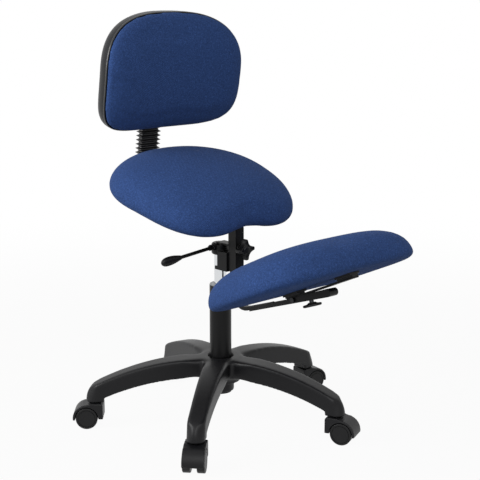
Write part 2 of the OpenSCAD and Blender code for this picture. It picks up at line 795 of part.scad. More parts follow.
module mechanism_bracket() {
    bore_r = cylinder_r + run_fit;
    web_y = post_y - sleeve_w / 2;
    color(paint) difference() {
        union() {
            translate([0, 0, barrel_z]) barrel();
            translate([-web_half, -web_y, fork_z]) cube([2 * web_half, web_y - web_back, web_top - fork_z]);
            translate([-web_half, -web_y, fork_z]) cube([2 * web_half, web_y, fork_h]);
            translate([-gusset_half, -web_y, barrel_z + barrel_h - barrel_cap])
                cube([2 * gusset_half, web_y, barrel_cap + gusset_h]);
            lever_ears();
        }
        translate([0, 0, fork_z - cut_over])
            cylinder(r = bore_r, h = barrel_z + barrel_h - barrel_cap - fork_z + cut_over);
        translate([-barrel_r - cut_over, 0, lever_z]) rotate([0, 90, 0])
            cylinder(r = lever_r + lever_room, h = barrel_r + cut_over);
        translate([-lever_x, 0, lever_z]) rotate([90, 0, 0])
            cylinder(r = lever_pin_r + run_fit, h = 2 * barrel_r, center = true);
    }
}

// Everything over the underside of the seat plate
module above_plate_underside() {
    on_seat() translate([-seat_half, -seat_front, plate_top - seat_plate_t])
        cube([2 * seat_half, seat_front + seat_back, seat_z]);
}

module post_sleeve() {
    inner = sleeve_w - 2 * sleeve_wall;
    front = -post_y - sleeve_w / 2;
    color(paint) difference() {
        union() {
            translate([-sleeve_w / 2, front, sleeve_z]) cube([sleeve_w, sleeve_w, seat_z - sleeve_z]);
            translate([0, front + cut_over, knob_z]) rotate([90, 0, 0]) cylinder(r = boss_r, h = boss_h + cut_over);
        }
        translate([-inner / 2, -post_y - inner / 2, sleeve_z - cut_over])
            cube([inner, inner, seat_z - sleeve_z + 2 * cut_over]);
        translate([0, -post_y, knob_z]) rotate([90, 0, 0]) cylinder(r = screw_r + run_fit, h = 2 * sleeve_w);
        above_plate_underside();
    }
}

// Knob drawn along +Z from its neck, with four lobes left between round scallops
module lobed_knob(radius, height, neck_r, neck_h, bore) {
    difference() {
        union() {
            cylinder(r = neck_r, h = neck_h + height / 2);
            translate([0, 0, neck_h]) linear_extrude(height) difference() {
                circle(r = radius);
                for (i = [0:3]) rotate(90 * i) translate([radius * 1.35, 0]) circle(r = radius * 0.8);
            }
        }
        translate([0, 0, -cut_over]) cylinder(r = bore, h = neck_h + height * 0.6 + cut_over);
    }
}

knob_back = post_y + sleeve_w / 2 + boss_h + face_gap;

module clamp_knob() {
    color(moulded) translate([0, -knob_back, knob_z]) rotate([90, 42, 0])
        lobed_knob(knob_r, knob_h, knob_neck_r, knob_neck, screw_r + run_fit);
}

module clamp_screw() {
    tip = post_y + post_w / 2 + face_gap / 2;
    end = knob_back + knob_neck + knob_h * 0.6 - face_gap;
    color(zinc) translate([0, -tip, knob_z]) rotate([90, 0, 0]) cylinder(r = screw_r, h = end - tip);
}

module seat_plate() {
    plate_l = seat_plate_front + seat_plate_back;
    color(paint) on_seat() difference() {
        union() {
            translate([-seat_plate_half, -seat_plate_front, plate_top - seat_plate_t])
                cube([2 * seat_plate_half, plate_l, seat_plate_t]);
            for (side = [-1, 1]) translate([side * (seat_plate_half - seat_plate_t) - seat_plate_t / 2,
                -seat_plate_front, plate_top - plate_rib_h]) cube([seat_plate_t, plate_l, plate_rib_h]);
        }
        for (p = seat_screw_places) translate([p[0], p[1], plate_top - 2 * seat_plate_t])
            cylinder(r = wood_screw_r + run_fit, h = 4 * seat_plate_t);
        for (y = spine_bolt_places) translate([0, y, plate_top - 2 * seat_plate_t])
            cylinder(r = screw_r + run_fit, h = 4 * seat_plate_t);
    }
}

seat_screw_places = [for (x = [-1, 1], y = [seat_plate_back * 0.8, -seat_plate_front * 0.8])
    [x * seat_plate_half * 0.65, y]];
spine_bolt_places = [seat_plate_back * 0.25, seat_plate_back * 0.75];

module wood_screw(length) {
    translate([0, 0, -wood_head_h]) cylinder(r = wood_head_r, h = wood_head_h);
    cylinder(r = wood_screw_r, h = length);
}

module seat_screws() {
    color(zinc) on_seat() for (p = seat_screw_places)
        translate([p[0], p[1], plate_top - seat_plate_t]) wood_screw(seat_plate_t + seat_board_t * 0.7);
}

// Seat

seat_facets = 40;
seat_n_front = 3.1;
seat_n_back = 2.2;
seat_edge_power = 6;
seat_taper = 0.16;
seat_front_thin = 0.12;
pocket_share = 0.8;
pocket_shares = [0.4, 0.8];
under_shares = [0.88, 0.94, 0.98];
over_shares = [0.985, 0.95, 0.88, 0.76, 0.58, 0.36, 0.16];
pocket_top = seat_under + seat_board_t + face_gap;

function seat_outline(a, inset) =
    let (p = pad_point(a, seat_half, seat_front, seat_back, seat_n_front, seat_n_back))
    let (x = p[0] * (1 - seat_taper * (seat_back - p[1]) / (seat_front + seat_back)))
    [x, p[1] + (p[1] < 0 ? seat_notch * bell(x, notch_w) : 0)] * (1 - inset / seat_half);
function seat_droop(x, y) =
    let (front = max(0, -y / seat_front), back = max(0, y / seat_back))
    -seat_side_drop * pow(x / seat_half, 2) - seat_front_drop * pow(front, 2)
    + pommel_rise * bell(x, notch_w) * pow(front, 2) - seat_back_drop * pow(back, 2);
function seat_ring(rho, up) = [for (i = [0:seat_facets - 1])
    let (p = rho * seat_outline(360 * i / seat_facets, 0))
    let (level = up > 0 ? seat_t / 2 * dome(rho, seat_edge_power) + seat_crown * (1 - rho * rho)
        : -seat_t / 2 * dome(rho, seat_edge_power))
    [p[0], p[1], level * (1 + seat_front_thin * p[1] / seat_front) + seat_droop(p[0], p[1])]];
function flat_ring(rho, z) = [for (i = [0:seat_facets - 1])
    let (p = rho * seat_outline(360 * i / seat_facets, 0)) [p[0], p[1], z]];

module seat_cushion() {
    color(cloth) on_seat() ring_solid(
        concat([for (rho = pocket_shares) flat_ring(rho, pocket_top)],
            [for (rho = concat([pocket_share], under_shares, [1])) seat_ring(rho, -1)],
            [for (rho = over_shares) seat_ring(rho, 1)]),
        [0, 0, pocket_top], [0, 0, seat_t / 2 + seat_crown]);
}

module seat_board() {
    color(ply) on_seat() difference() {
        translate([0, 0, seat_under]) linear_extrude(seat_board_t)
            polygon([for (i = [0:seat_facets - 1])
                (pocket_share - face_gap / seat_half * 2) * seat_outline(360 * i / seat_facets, 0)]);
        for (p = seat_screw_places) translate([p[0], p[1], seat_under - cut_over])
            cylinder(r = wood_screw_r + run_fit, h = seat_board_t + 2 * cut_over);
        for (y = spine_bolt_places) translate([0, y, seat_under - cut_over])
            cylinder(r = screw_r + run_fit, h = seat_board_t + 2 * cut_over);
    }
}

// Release lever

module at_lever() {
    translate([-lever_x, 0, lever_z]) rotate([0, -lever_slope, 0]) children();
}

module release_lever() {
    inner_end = lever_x + lever_r / 2;
    color(paint) at_lever() difference() {
        union() {
            translate([-lever_l - grip_l * 0.5, 0, 0]) rotate([0, 90, 0])
                cylinder(r = lever_r, h = lever_l + grip_l * 0.5 + inner_end);
            sphere(r = lever_ball_r);
            translate([-lever_ball_r - lever_collar, 0, 0]) rotate([0, 90, 0])
                cylinder(r = lever_r * 1.5, h = lever_collar);
        }
        rotate([90, 0, 0]) cylinder(r = lever_pin_r + run_fit, h = 4 * lever_r, center = true);
    }
}

module lever_grip() {
    far_r = grip_t / 2;
    near_r = lever_r * 1.4;
    tall = grip_h - grip_t;
    color(moulded) at_lever() translate([-lever_l, 0, 0]) difference() {
        hull() {
            for (z = [-1, 1]) translate([far_r - grip_l, 0, z * tall / 2]) sphere(r = far_r, $fn = 32);
            for (z = [-1, 1]) translate([-grip_l * 0.55, 0, z * tall / 2]) sphere(r = far_r, $fn = 32);
            translate([-near_r, 0, 0]) rotate([0, 90, 0]) cylinder(r = near_r, h = near_r, $fn = 32);
        }
        translate([-grip_l * 0.5 - face_gap, 0, 0]) rotate([0, 90, 0])
            cylinder(r = lever_r + run_fit, h = grip_l);
    }
}

module lever_pin() {
    pin_l = 2 * (lever_ball_r + ear_t + face_gap);
    color(zinc) translate([-lever_x, 0, lever_z]) rotate([90, 0, 0]) cylinder(r = lever_pin_r, h = pin_l, center = true);
}

module valve_pin() {
    rod_under = lever_z + lever_x * tan(lever_slope) - lever_r / cos(lever_slope);
    color(zinc) translate([0, 0, rod_under - face_gap - valve_h]) cylinder(r = valve_r, h = valve_h);
}

// Knee post and arm

module knee_post() {
    inner = post_w - 2 * post_wall;
    color(paint) difference() {
        translate([-post_w / 2, -post_y - post_w / 2, post_z]) cube([post_w, post_w, post_top - post_z]);
        translate([-inner / 2, -post_y - inner / 2, post_z - cut_over])
            cube([inner, inner, post_top - post_z + 2 * cut_over]);
    }
}

bar_back = post_w / 2 - post_wall - post_y;
bend_centre = [bar_back - bend_r, bend_z + bend_r];

module knee_bar() {
    leg = knee_arm_len * 0.3;
    turn = 270 - arm_slope;
    top_z = post_z + bar_insert;
    ahead = [-cos(arm_slope), sin(arm_slope)];
    outer_end = bend_centre + bend_r * [cos(turn), sin(turn)];
    inner_end = bend_centre + (bend_r - bar_t) * [cos(turn), sin(turn)];
    width = post_w - 2 * post_wall - 2 * run_fit;
    color(paint) side_slab(width) polygon(concat(
        [[bar_back, top_z]], arc(bend_centre, bend_r, 360, turn, 12), [outer_end + leg * ahead],
        [inner_end + leg * ahead], arc(bend_centre, bend_r - bar_t, turn, 360, 12), [[bar_back - bar_t, top_z]]));
}

// Height of the arm's underside at its rear end, where the bent bar lies on the arm's floor
knee_arm_z = bend_centre[1] - (bend_r + knee_arm_wall) / cos(arm_slope)
    + (knee_arm_y + bend_centre[0]) * tan(arm_slope);

// Places a piece drawn in the arm's own frame: its underside on Z = 0 and its length towards -Y
module on_arm() {
    translate([0, -knee_arm_y, knee_arm_z]) rotate([-arm_slope, 0, 0]) children();
}

module arm_wall_outline() {
    end_r = side_front / 2;
    polygon(concat([[0, 0], [0, side_rear], [-rise_from_share * knee_arm_len, side_rear],
        [-rise_to_share * knee_arm_len, side_front]],
        arc([end_r - knee_arm_len, end_r], end_r, 90, 270, 14)));
}

module knee_arm() {
    inner = knee_arm_w - 2 * knee_arm_wall;
    color(paint) on_arm() {
        difference() {
            union() {
                side_slab(knee_arm_w) arm_wall_outline();
                translate([0, -tilt_screw_at, 0]) cylinder(r = tilt_nut_r, h = knee_arm_wall + tilt_nut_h);
            }
            difference() {
                translate([-inner / 2, -knee_arm_len - cut_over, knee_arm_wall])
                    cube([inner, knee_arm_len + 2 * cut_over, side_front]);
                translate([0, -tilt_screw_at, 0]) cylinder(r = tilt_nut_r, h = knee_arm_wall + tilt_nut_h);
                translate([0, side_front * 0.35 - knee_arm_len, 0])
                    cube([inner + cut_over, side_front * 0.7, 2 * side_front - 3 * knee_arm_wall], center = true);
            }
            translate([0, -tilt_screw_at, -cut_over])
                cylinder(r = tilt_screw_r + run_fit, h = 2 * side_front);
            translate([0, -tilt_bolt_at, tilt_bolt_up]) rotate([0, 90, 0])
                cylinder(r = tilt_bolt_r + run_fit, h = 2 * knee_arm_w, center = true);
        }
    }
}

module tilt_bolt() {
    half = knee_arm_w / 2;
    color(bright) on_arm() translate([0, -tilt_bolt_at, tilt_bolt_up]) rotate([0, -90, 0]) {
        translate([0, 0, -half - tilt_head_h]) cylinder(r = tilt_bolt_r, h = 2 * half + tilt_head_h);
        translate([0, 0, half]) cylinder(r = tilt_head_r, h = tilt_head_h);
        translate([0, 0, -half - tilt_head_h]) cylinder(r = tilt_head_r, h = tilt_head_h, $fn = 6);
    }
}

// Height of the tilt bar's underside over the arm's underside, at the tilt screw
bar_low = -knee_under - block_h - tilt_bar_t;
rest_gain = knee_tilt - arm_slope;
pivot_yz = [-knee_arm_y - tilt_bolt_at * cos(arm_slope) + tilt_bolt_up * sin(arm_slope),
    knee_arm_z + tilt_bolt_at * sin(arm_slope) + tilt_bolt_up * cos(arm_slope)];
// Pivot seen from the knee pad's own frame, as its distance ahead and its level
pivot_off = pivot_yz - [-knee_y, knee_z];
pivot_pad = [pivot_off[0] * cos(knee_tilt) - pivot_off[1] * sin(knee_tilt),
    pivot_off[0] * sin(knee_tilt) + pivot_off[1] * cos(knee_tilt)];
screw_top = tilt_bolt_up + (bar_low - pivot_pad[1]) / cos(rest_gain) + (tilt_screw_at - tilt_bolt_at) * tan(rest_gain)
    - tilt_screw_r * tan(rest_gain) - face_gap;

module tilt_screw() {
    color(zinc) on_arm() translate([0, -tilt_screw_at, face_gap - wing_drop - wing_hub_h * 0.7])
        cylinder(r = tilt_screw_r, h = screw_top + wing_drop + wing_hub_h * 0.7 - face_gap);
}

module tilt_knob() {
    wing_turn = 40;
    color(moulded) on_arm() translate([0, -tilt_screw_at, -wing_drop - wing_hub_h]) difference() {
        union() {
            cylinder(r = wing_hub_r, h = wing_hub_h);
            rotate([0, 0, -wing_turn]) {
                translate([-wing_l / 2 + wing_w / 2, -wing_w / 2, 0]) cube([wing_l - wing_w, wing_w, wing_h]);
                for (side = [-1, 1]) translate([side * (wing_l - wing_w) / 2, 0, 0])
                    cylinder(r = wing_w / 2, h = wing_h);
            }
        }
        translate([0, 0, wing_hub_h * 0.3]) cylinder(r = tilt_screw_r + run_fit, h = wing_hub_h);
    }
}

// Knee pad

module on_knee_pad() {
    translate([0, -knee_y, knee_z]) rotate([-knee_tilt, 0, 0]) children();
}

// Rear edges of the two blocks, and the places of the screws along each, as shares of its length
block_rears = [pivot_pad[0] + block_l * 0.55, block_l - knee_front * 0.765];
pad_screw_shares = [0.14, 0.78];
bar_front = block_rears[1] - block_l;
bar_rear = pivot_pad[0] + block_l * 0.48;
pad_screw_y = [for (rear = block_rears, share = pad_screw_shares) rear - block_l * share];

module pad_screw_holes() {
    for (y = pad_screw_y) translate([0, y, bar_low - cut_over])
        cylinder(r = wood_screw_r + run_fit, h = seat_board_t + knee_board_t + block_h + tilt_bar_t);
}

module tilt_bar() {
    sink = wood_head_h + run_fit;
    color(paint) on_knee_pad() difference() {
        union() {
            translate([-tilt_bar_w / 2, bar_front, bar_low]) cube([tilt_bar_w, bar_rear - bar_front, tilt_bar_t]);
            translate([0, pivot_pad[0], pivot_pad[1]]) rotate([0, 90, 0])
                cylinder(r = tilt_eye_r, h = tilt_bar_w, center = true);
        }
        translate([0, pivot_pad[0], pivot_pad[1]]) rotate([0, 90, 0])
            cylinder(r = tilt_bolt_r + run_fit, h = 2 * tilt_bar_w, center = true);
        pad_screw_holes();
        for (y = pad_screw_y) translate([0, y, bar_low + sink - tilt_bar_t])
            cylinder(r = wood_head_r + run_fit, h = tilt_bar_t);
    }
}

module pad_blocks() {
    foot_half = (knee_arm_w - 2 * knee_arm_wall) / 2 - pass_room;
    color(moulded) on_knee_pad() for (rear = block_rears) difference() {
        union() {
            translate([-block_half, rear - block_l, -knee_under - block_step])
                cube([2 * block_half, block_l, block_step]);
            translate([-foot_half, rear - block_l, -knee_under - block_h])
                cube([2 * foot_half, block_l, block_h]);
        }
        pad_screw_holes();
    }
}

module knee_screws() {
    color(zinc) on_knee_pad() for (y = pad_screw_y) translate([0, y, bar_low + wood_head_h])
        wood_screw(tilt_bar_t - wood_head_h + block_h + knee_board_t * 0.7);
}

knee_facets = 40;
knee_n_front = 3.2;
knee_n_back = 3.4;
knee_over_power = 4.34;
knee_under_power = 6.75;
knee_wedge = 0.048;
knee_side_drop = 2.3;
knee_pocket_share = 0.86;
knee_pocket_shares = [0.45, 0.86];
knee_under_shares = [0.92, 0.96, 0.985];
knee_over_shares = [0.99, 0.96, 0.91, 0.83, 0.7, 0.52, 0.32, 0.14];
knee_pocket_top = knee_board_t - knee_under + face_gap;

function knee_outline(i) =
    pad_point(360 * i / knee_facets, knee_half, knee_front, knee_back, knee_n_front, knee_n_back);
function knee_ring(rho, up) = [for (i = [0:knee_facets - 1])
    let (p = rho * knee_outline(i))
    let (over = knee_crown * dome(rho, knee_over_power) * (1 - knee_wedge * p[1] / knee_front))
    let (level = up > 0 ? over : -knee_under * dome(rho, knee_under_power))
    [p[0], p[1], level - knee_side_drop * pow(p[0] / knee_half, 2)]];
function knee_flat_ring(rho, z) = [for (i = [0:knee_facets - 1])
    let (p = rho * knee_outline(i)) [p[0], p[1], z]];

module knee_cushion() {
    color(cloth) on_knee_pad() ring_solid(
        concat([for (rho = knee_pocket_shares) knee_flat_ring(rho, knee_pocket_top)],
            [for (rho = concat([knee_pocket_share], knee_under_shares, [1])) knee_ring(rho, -1)],
            [for (rho = knee_over_shares) knee_ring(rho, 1)]),
        [0, 0, knee_pocket_top], [0, 0, knee_crown]);
}

module knee_board() {
    color(ply) on_knee_pad() difference() {
        translate([0, 0, -knee_under]) linear_extrude(knee_board_t)
            polygon([for (i = [0:knee_facets - 1])
                (knee_pocket_share - face_gap / knee_half * 2) * knee_outline(i)]);
        pad_screw_holes();
    }
}

// Backrest

module on_back() {
    translate([0, back_y, back_z]) rotate([back_lean, 0, 0]) rotate([90, 0, 0]) children();
}

// Spine bar: its upright runs behind the backrest and its foot lies under the seat plate
foot_level = plate_top - seat_plate_t - spine_t / 2;
up_dir = [-sin(back_lean), cos(back_lean)];
foot_dir = [cos(seat_tilt), sin(seat_tilt)];
// Depth of the spine's centre line behind the backrest's middle
spine_depth = shell_d + shell_bulge - shell_wall - spine_room;
up_point = [back_y, back_z] + spine_depth * [cos(back_lean), sin(back_lean)];
foot_point = [seat_y, seat_z] + foot_level * [-sin(seat_tilt), cos(seat_tilt)];
spine_turn = 90 + back_lean - seat_tilt;
bend_tangent = spine_bend * tan(spine_turn / 2);
// Where the two centre lines cross, measured along the foot
cross_at = ((up_point[0] - foot_point[0]) * up_dir[1] - (up_point[1] - foot_point[1]) * up_dir[0])
    / (foot_dir[0] * up_dir[1] - foot_dir[1] * up_dir[0]);
corner = foot_point + cross_at * foot_dir;
foot_end = foot_point - seat_plate_back * 0.05 * foot_dir;
bend_mid = corner - bend_tangent * foot_dir + spine_bend * [-foot_dir[1], foot_dir[0]];

module back_spine() {
    half = spine_t / 2;
    top = up_point + spine_up * up_dir;
    across = [up_dir[1], -up_dir[0]];
    down = [foot_dir[1], -foot_dir[0]];
    from = seat_tilt - 90;
    color(paint) difference() {
        side_slab(spine_w) polygon(concat(
            [foot_end + half * down], arc(bend_mid, spine_bend + half, from, from + spine_turn, 12),
            [top + half * across, top - half * across],
            arc(bend_mid, spine_bend - half, from + spine_turn, from, 12), [foot_end - half * down]));
        on_seat() for (y = spine_bolt_places) translate([0, y, foot_level - spine_t])
            cylinder(r = screw_r + run_fit, h = 2 * spine_t);
    }
}

module spine_bolts() {
    color(zinc) on_seat() for (y = spine_bolt_places) translate([0, y, foot_level - spine_t / 2]) {
        translate([0, 0, -screw_r]) cylinder(r = 2 * screw_r, h = screw_r);
        cylinder(r = screw_r, h = spine_t + seat_plate_t + seat_board_t * 0.8);
    }
}

// Bellows: eight-sided rings that step in and out round a plain bore, with a cuff at the foot that fits the spine
function bellows_ring(in, v) =
    let (x = bellows_w / 2 - in, y = bellows_d / 2 - in, c = bellows_d / 5)
    [for (p = [[x, c - y], [x, y - c], [x - c, y], [c - x, y], [-x, y - c], [-x, c - y], [c - x, -y], [x - c, -y]])
        [p[0], v, -p[1] - spine_depth]];
bellows_ribs = floor((bellows_low - bellows_high) / rib_pitch);
bellows_step = (bellows_low - bellows_high) / bellows_ribs;

module spine_bellows() {
    bore_w = bellows_w - 2 * rib_depth - 2 * bellows_wall;
    bore_d = bellows_d - 2 * rib_depth - 2 * bellows_wall;
    cuff = bellows_step / 2;
    color("#232324") on_back() difference() {
        ring_solid([for (i = [0:2 * bellows_ribs]) bellows_ring(i % 2 == 0 ? rib_depth : 0,
            -bellows_low + bellows_step * i / 2)],
            [0, -bellows_low, -spine_depth], [0, -bellows_high, -spine_depth]);
        translate([-bore_w / 2, cuff - bellows_low, -spine_depth - bore_d / 2])
            cube([bore_w, bellows_low - bellows_high, bore_d]);
        translate([0, -bellows_low, -spine_depth])
            cube([spine_w + 2 * face_gap, bellows_low, spine_t + 2 * face_gap], center = true);
    }
}

back_facets = 40;
back_n_up = 2.7;
back_n_down = 4.5;
back_cushion_power = 4.5;
shell_power = 9;
rim_share = 0.982;
ledge_share = 0.9;
shell_shares = [0.25, 0.5, 0.72, 0.86, 0.94, 0.985];
shell_inner_shares = [0.86, 0.72, 0.5, 0.25];
back_over_shares = [0.985, 0.95, 0.89, 0.8, 0.66, 0.48, 0.28, 0.12];
back_flat_shares = [0.35, 0.7, 0.9, 0.96];

// The backrest is drawn with X across, Y up and Z towards the sitter
function back_outline(i, inset) =
    let (p = pad_point(360 * i / back_facets, back_half - inset, back_down - inset, back_up - inset,
        back_n_down, back_n_up)) p;
function back_warp(x, y) = back_curve * pow(x / back_half, 2) - back_roll * pow(y / back_up, 2);
function back_ring(rho, z, inset) = [for (i = [0:back_facets - 1])
    let (p = rho * back_outline(i, inset)) [p[0], p[1], z + back_warp(p[0], p[1])]];
function shell_ring(rho, depth) = [for (i = [0:back_facets - 1])
    let (p = rho * back_outline(i, 0))
    [p[0], p[1], back_warp(p[0], p[1]) - dome(rho, shell_power) * (depth + shell_bulge * bell(p[0], bulge_w))]];

module back_shell() {
    inner_d = shell_d - shell_wall;
    ledge = -back_board_t - face_gap;
    slot_w = bellows_w + 2 * pass_room;
    slot_d = bellows_d + 2 * pass_room;
    color(trim) on_back() difference() {
        ring_solid(concat(
            [for (rho = shell_shares) shell_ring(rho, shell_d)],
            [back_ring(1, -shell_wall, 0), back_ring(1, 0, 0), back_ring(rim_share, 0, 0)],
            [back_ring(rim_share, ledge, 0), back_ring(ledge_share, ledge, 0)],
            [for (rho = shell_inner_shares) shell_ring(rho, inner_d)]),
            [0, 0, -shell_d - shell_bulge], [0, 0, -inner_d - shell_bulge]);
        translate([0, -back_down, -spine_depth]) cube([slot_w, back_down, slot_d], center = true);
        translate([0, 0, -2 * shell_d]) cylinder(r = screw_r + pass_room, h = shell_d);
    }
}

module back_board() {
    last = len(back_flat_shares) - 1;
    color(ply) on_back() difference() {
        ring_solid(
            concat([for (rho = back_flat_shares) back_ring(rho, -back_board_t, shell_rim)],
                [for (i = [last:-1:0]) back_ring(back_flat_shares[i], 0, shell_rim)]),
            [0, 0, -back_board_t], [0, 0, 0]);
        back_screw_holes();
    }
}

// Gap between the curved board and the cushion in front of it
cushion_gap = 2 * face_gap;
function back_over_ring(rho) = [for (i = [0:back_facets - 1])
    let (p = rho * back_outline(i, shell_rim))
    [p[0], p[1], cushion_gap + back_cushion_d * dome(rho, back_cushion_power) + back_warp(p[0], p[1])]];

module back_cushion() {
    color(cloth) on_back() ring_solid(
        concat([for (rho = concat(back_flat_shares, [1])) back_ring(rho, cushion_gap, shell_rim)],
            [for (rho = back_over_shares) back_over_ring(rho)]),
        [0, 0, cushion_gap], [0, 0, cushion_gap + back_cushion_d]);
}

guide_half = spine_w / 2 + slide_fit;
guide_deep = spine_t / 2 + slide_fit;
carrier_front = -back_board_t - flange_gap;

module back_carrier() {
    outer_half = guide_half + carrier_wall;
    outer_deep = guide_deep + carrier_wall;
    color(paint) on_back() difference() {
        union() {
            translate([0, 0, -spine_depth]) cube([2 * outer_half, 2 * carrier_half, 2 * outer_deep], center = true);
            for (side = [-1, 1]) {
                translate([side * (outer_half - carrier_wall / 2) - carrier_wall / 2, -carrier_half, -spine_depth])
                    cube([carrier_wall, 2 * carrier_half, spine_depth + carrier_front]);
                translate([side * (outer_half + (flange_w - carrier_wall) / 2) - (flange_w + carrier_wall) / 2,
                    -carrier_half, carrier_front - carrier_wall])
                    cube([flange_w + carrier_wall, 2 * carrier_half, carrier_wall]);
            }
        }
        translate([0, 0, -spine_depth]) cube([2 * guide_half, 3 * carrier_half, 2 * guide_deep], center = true);
        translate([0, 0, -2 * shell_d]) cylinder(r = screw_r + run_fit, h = 2 * shell_d - spine_depth);
        back_screw_holes();
    }
}

back_screw_places = [for (x = [-1, 1], y = [-1, 1])
    [x * (guide_half + carrier_wall + flange_w / 2), y * carrier_half * 0.7]];

module back_screw_holes() {
    for (p = back_screw_places) translate([p[0], p[1], carrier_front - carrier_wall - cut_over])
        cylinder(r = wood_screw_r + run_fit, h = carrier_wall + flange_gap + back_board_t * 0.8);
}

module back_screws() {
    color(zinc) on_back() for (p = back_screw_places) translate([p[0], p[1], carrier_front - carrier_wall])
        wood_screw(carrier_wall + flange_gap + back_board_t * 0.6);
}

rear_face = shell_d + shell_bulge + face_gap;

module back_knob() {
    color(moulded) on_back() translate([0, 0, -rear_face]) rotate([180, 0, 45])
        lobed_knob(back_knob_r, back_knob_h, knob_neck_r, knob_neck, screw_r + run_fit);
}

module back_knob_screw() {
    tip = spine_depth + spine_t / 2 + face_gap / 2;
    end = rear_face + knob_neck + back_knob_h * 0.6 - face_gap;
    color(zinc) on_back() translate([0, 0, -end]) cylinder(r = screw_r, h = end - tip);
}

star_base();
caster_stems();
column_tube();
column_bush();
thrust_bearing();
retaining_clip();
piston_rod();
piston();
gas_cylinder();
cylinder_gland();
mechanism_bracket();
post_sleeve();
seat_plate();
seat_board();
seat_cushion();
seat_screws();
lever_pin();
valve_pin();
release_lever();
lever_grip();
clamp_knob();
clamp_screw();
knee_post();
knee_bar();
knee_arm();
tilt_bolt();
tilt_screw();
tilt_knob();
tilt_bar();
pad_blocks();
knee_board();
knee_cushion();
knee_screws();
back_spine();
spine_bellows();
spine_bolts();
back_carrier();
back_knob();
back_knob_screw();
back_shell();
back_board();
back_cushion();
back_screws();
for (k = [0:arm_count - 1]) {
    caster_body(k);
    caster_wheel(k, 1);
    caster_wheel(k, -1);
}
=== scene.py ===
"""Dress the kneeling stool: finishes, cushions, moulded pieces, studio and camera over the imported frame."""

from __future__ import annotations

import json
import logging
import math
from dataclasses import dataclass, field
from enum import Enum
from typing import Callable, Iterator, Mapping, Optional, Sequence

import bmesh
import bpy
from mathutils import Matrix, Vector

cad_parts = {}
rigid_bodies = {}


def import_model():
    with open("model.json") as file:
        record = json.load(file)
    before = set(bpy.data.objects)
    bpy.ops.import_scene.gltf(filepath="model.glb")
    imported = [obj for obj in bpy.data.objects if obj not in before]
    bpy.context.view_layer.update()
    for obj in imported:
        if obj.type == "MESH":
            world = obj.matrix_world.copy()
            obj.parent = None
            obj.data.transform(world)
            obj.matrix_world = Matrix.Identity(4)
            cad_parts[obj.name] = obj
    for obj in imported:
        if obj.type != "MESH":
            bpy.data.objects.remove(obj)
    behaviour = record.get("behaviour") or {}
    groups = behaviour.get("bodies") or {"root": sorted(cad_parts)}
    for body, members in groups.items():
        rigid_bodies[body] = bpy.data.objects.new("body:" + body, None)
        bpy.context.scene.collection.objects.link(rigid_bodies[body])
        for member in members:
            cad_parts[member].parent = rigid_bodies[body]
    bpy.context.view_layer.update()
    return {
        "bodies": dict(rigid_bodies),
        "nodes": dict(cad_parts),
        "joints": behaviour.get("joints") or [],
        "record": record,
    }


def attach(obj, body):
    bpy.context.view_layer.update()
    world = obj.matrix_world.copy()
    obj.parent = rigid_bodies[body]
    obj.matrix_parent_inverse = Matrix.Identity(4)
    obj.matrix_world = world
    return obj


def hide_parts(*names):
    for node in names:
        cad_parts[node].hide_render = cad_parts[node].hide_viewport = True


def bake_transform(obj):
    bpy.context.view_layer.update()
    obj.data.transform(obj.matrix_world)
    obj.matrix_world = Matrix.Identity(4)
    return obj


LOG = logging.getLogger("stool")
MM = 0.001
FACETS = 112

Point = tuple[float, float, float]
Flat = tuple[float, float]
Socket = bpy.types.NodeSocket
Piece = bpy.types.Object


class Body(Enum):
    """Moving bodies of the record that new pieces ride on."""

    BASE = "base"
    FRAME = "frame"
    LEVER = "lever"
    CLAMP = "clamp"
    KNEE_PAD = "knee_pad"
    TILT_HANDLE = "tilt_handle"
    BACKREST = "backrest"
    BACK_HANDLE = "back_handle"


# Small tools for colours, sizes and nodes


def linear(code: str) -> tuple[float, float, float, float]:
    """Turn an sRGB hex colour into linear colour.

    Args:
        code: Colour as "#rrggbb".

    Returns:
        Linear red, green, blue and full alpha.
    """
    parts = [int(code[i:i + 2], 16) / 255 for i in (1, 3, 5)]
    flat = [p / 12.92 if p <= 0.04045 else ((p + 0.055) / 1.055) ** 2.4 for p in parts]
    return (flat[0], flat[1], flat[2], 1.0)


def per_mm(size: float) -> float:
    """Give the texture scale at which one feature measures size millimetres."""
    return 1.0 / (size * MM)


def add_node(
    tree: bpy.types.NodeTree,
    kind: str,
    settings: Optional[Mapping[object, object]] = None,
    links: Optional[Mapping[object, Socket]] = None,
) -> bpy.types.Node:
    """Add one node with its settings and links.

    Args:
        tree: Node tree to add to.
        kind: Node type.
        settings: Values by socket name or number, or by attribute name.
        links: Output sockets to join, by input name or number.

    Returns:
        The new node.
    """
    node = tree.nodes.new(kind)
    attributes = {k: v for k, v in (settings or {}).items() if isinstance(k, str) and hasattr(node, k)}
    for name, value in attributes.items():
        setattr(node, name, value)
    for name, value in (settings or {}).items():
        if name not in attributes:
            node.inputs[name].default_value = value
    for name, socket in (links or {}).items():
        tree.links.new(socket, node.inputs[name])
    return node


# Finishes


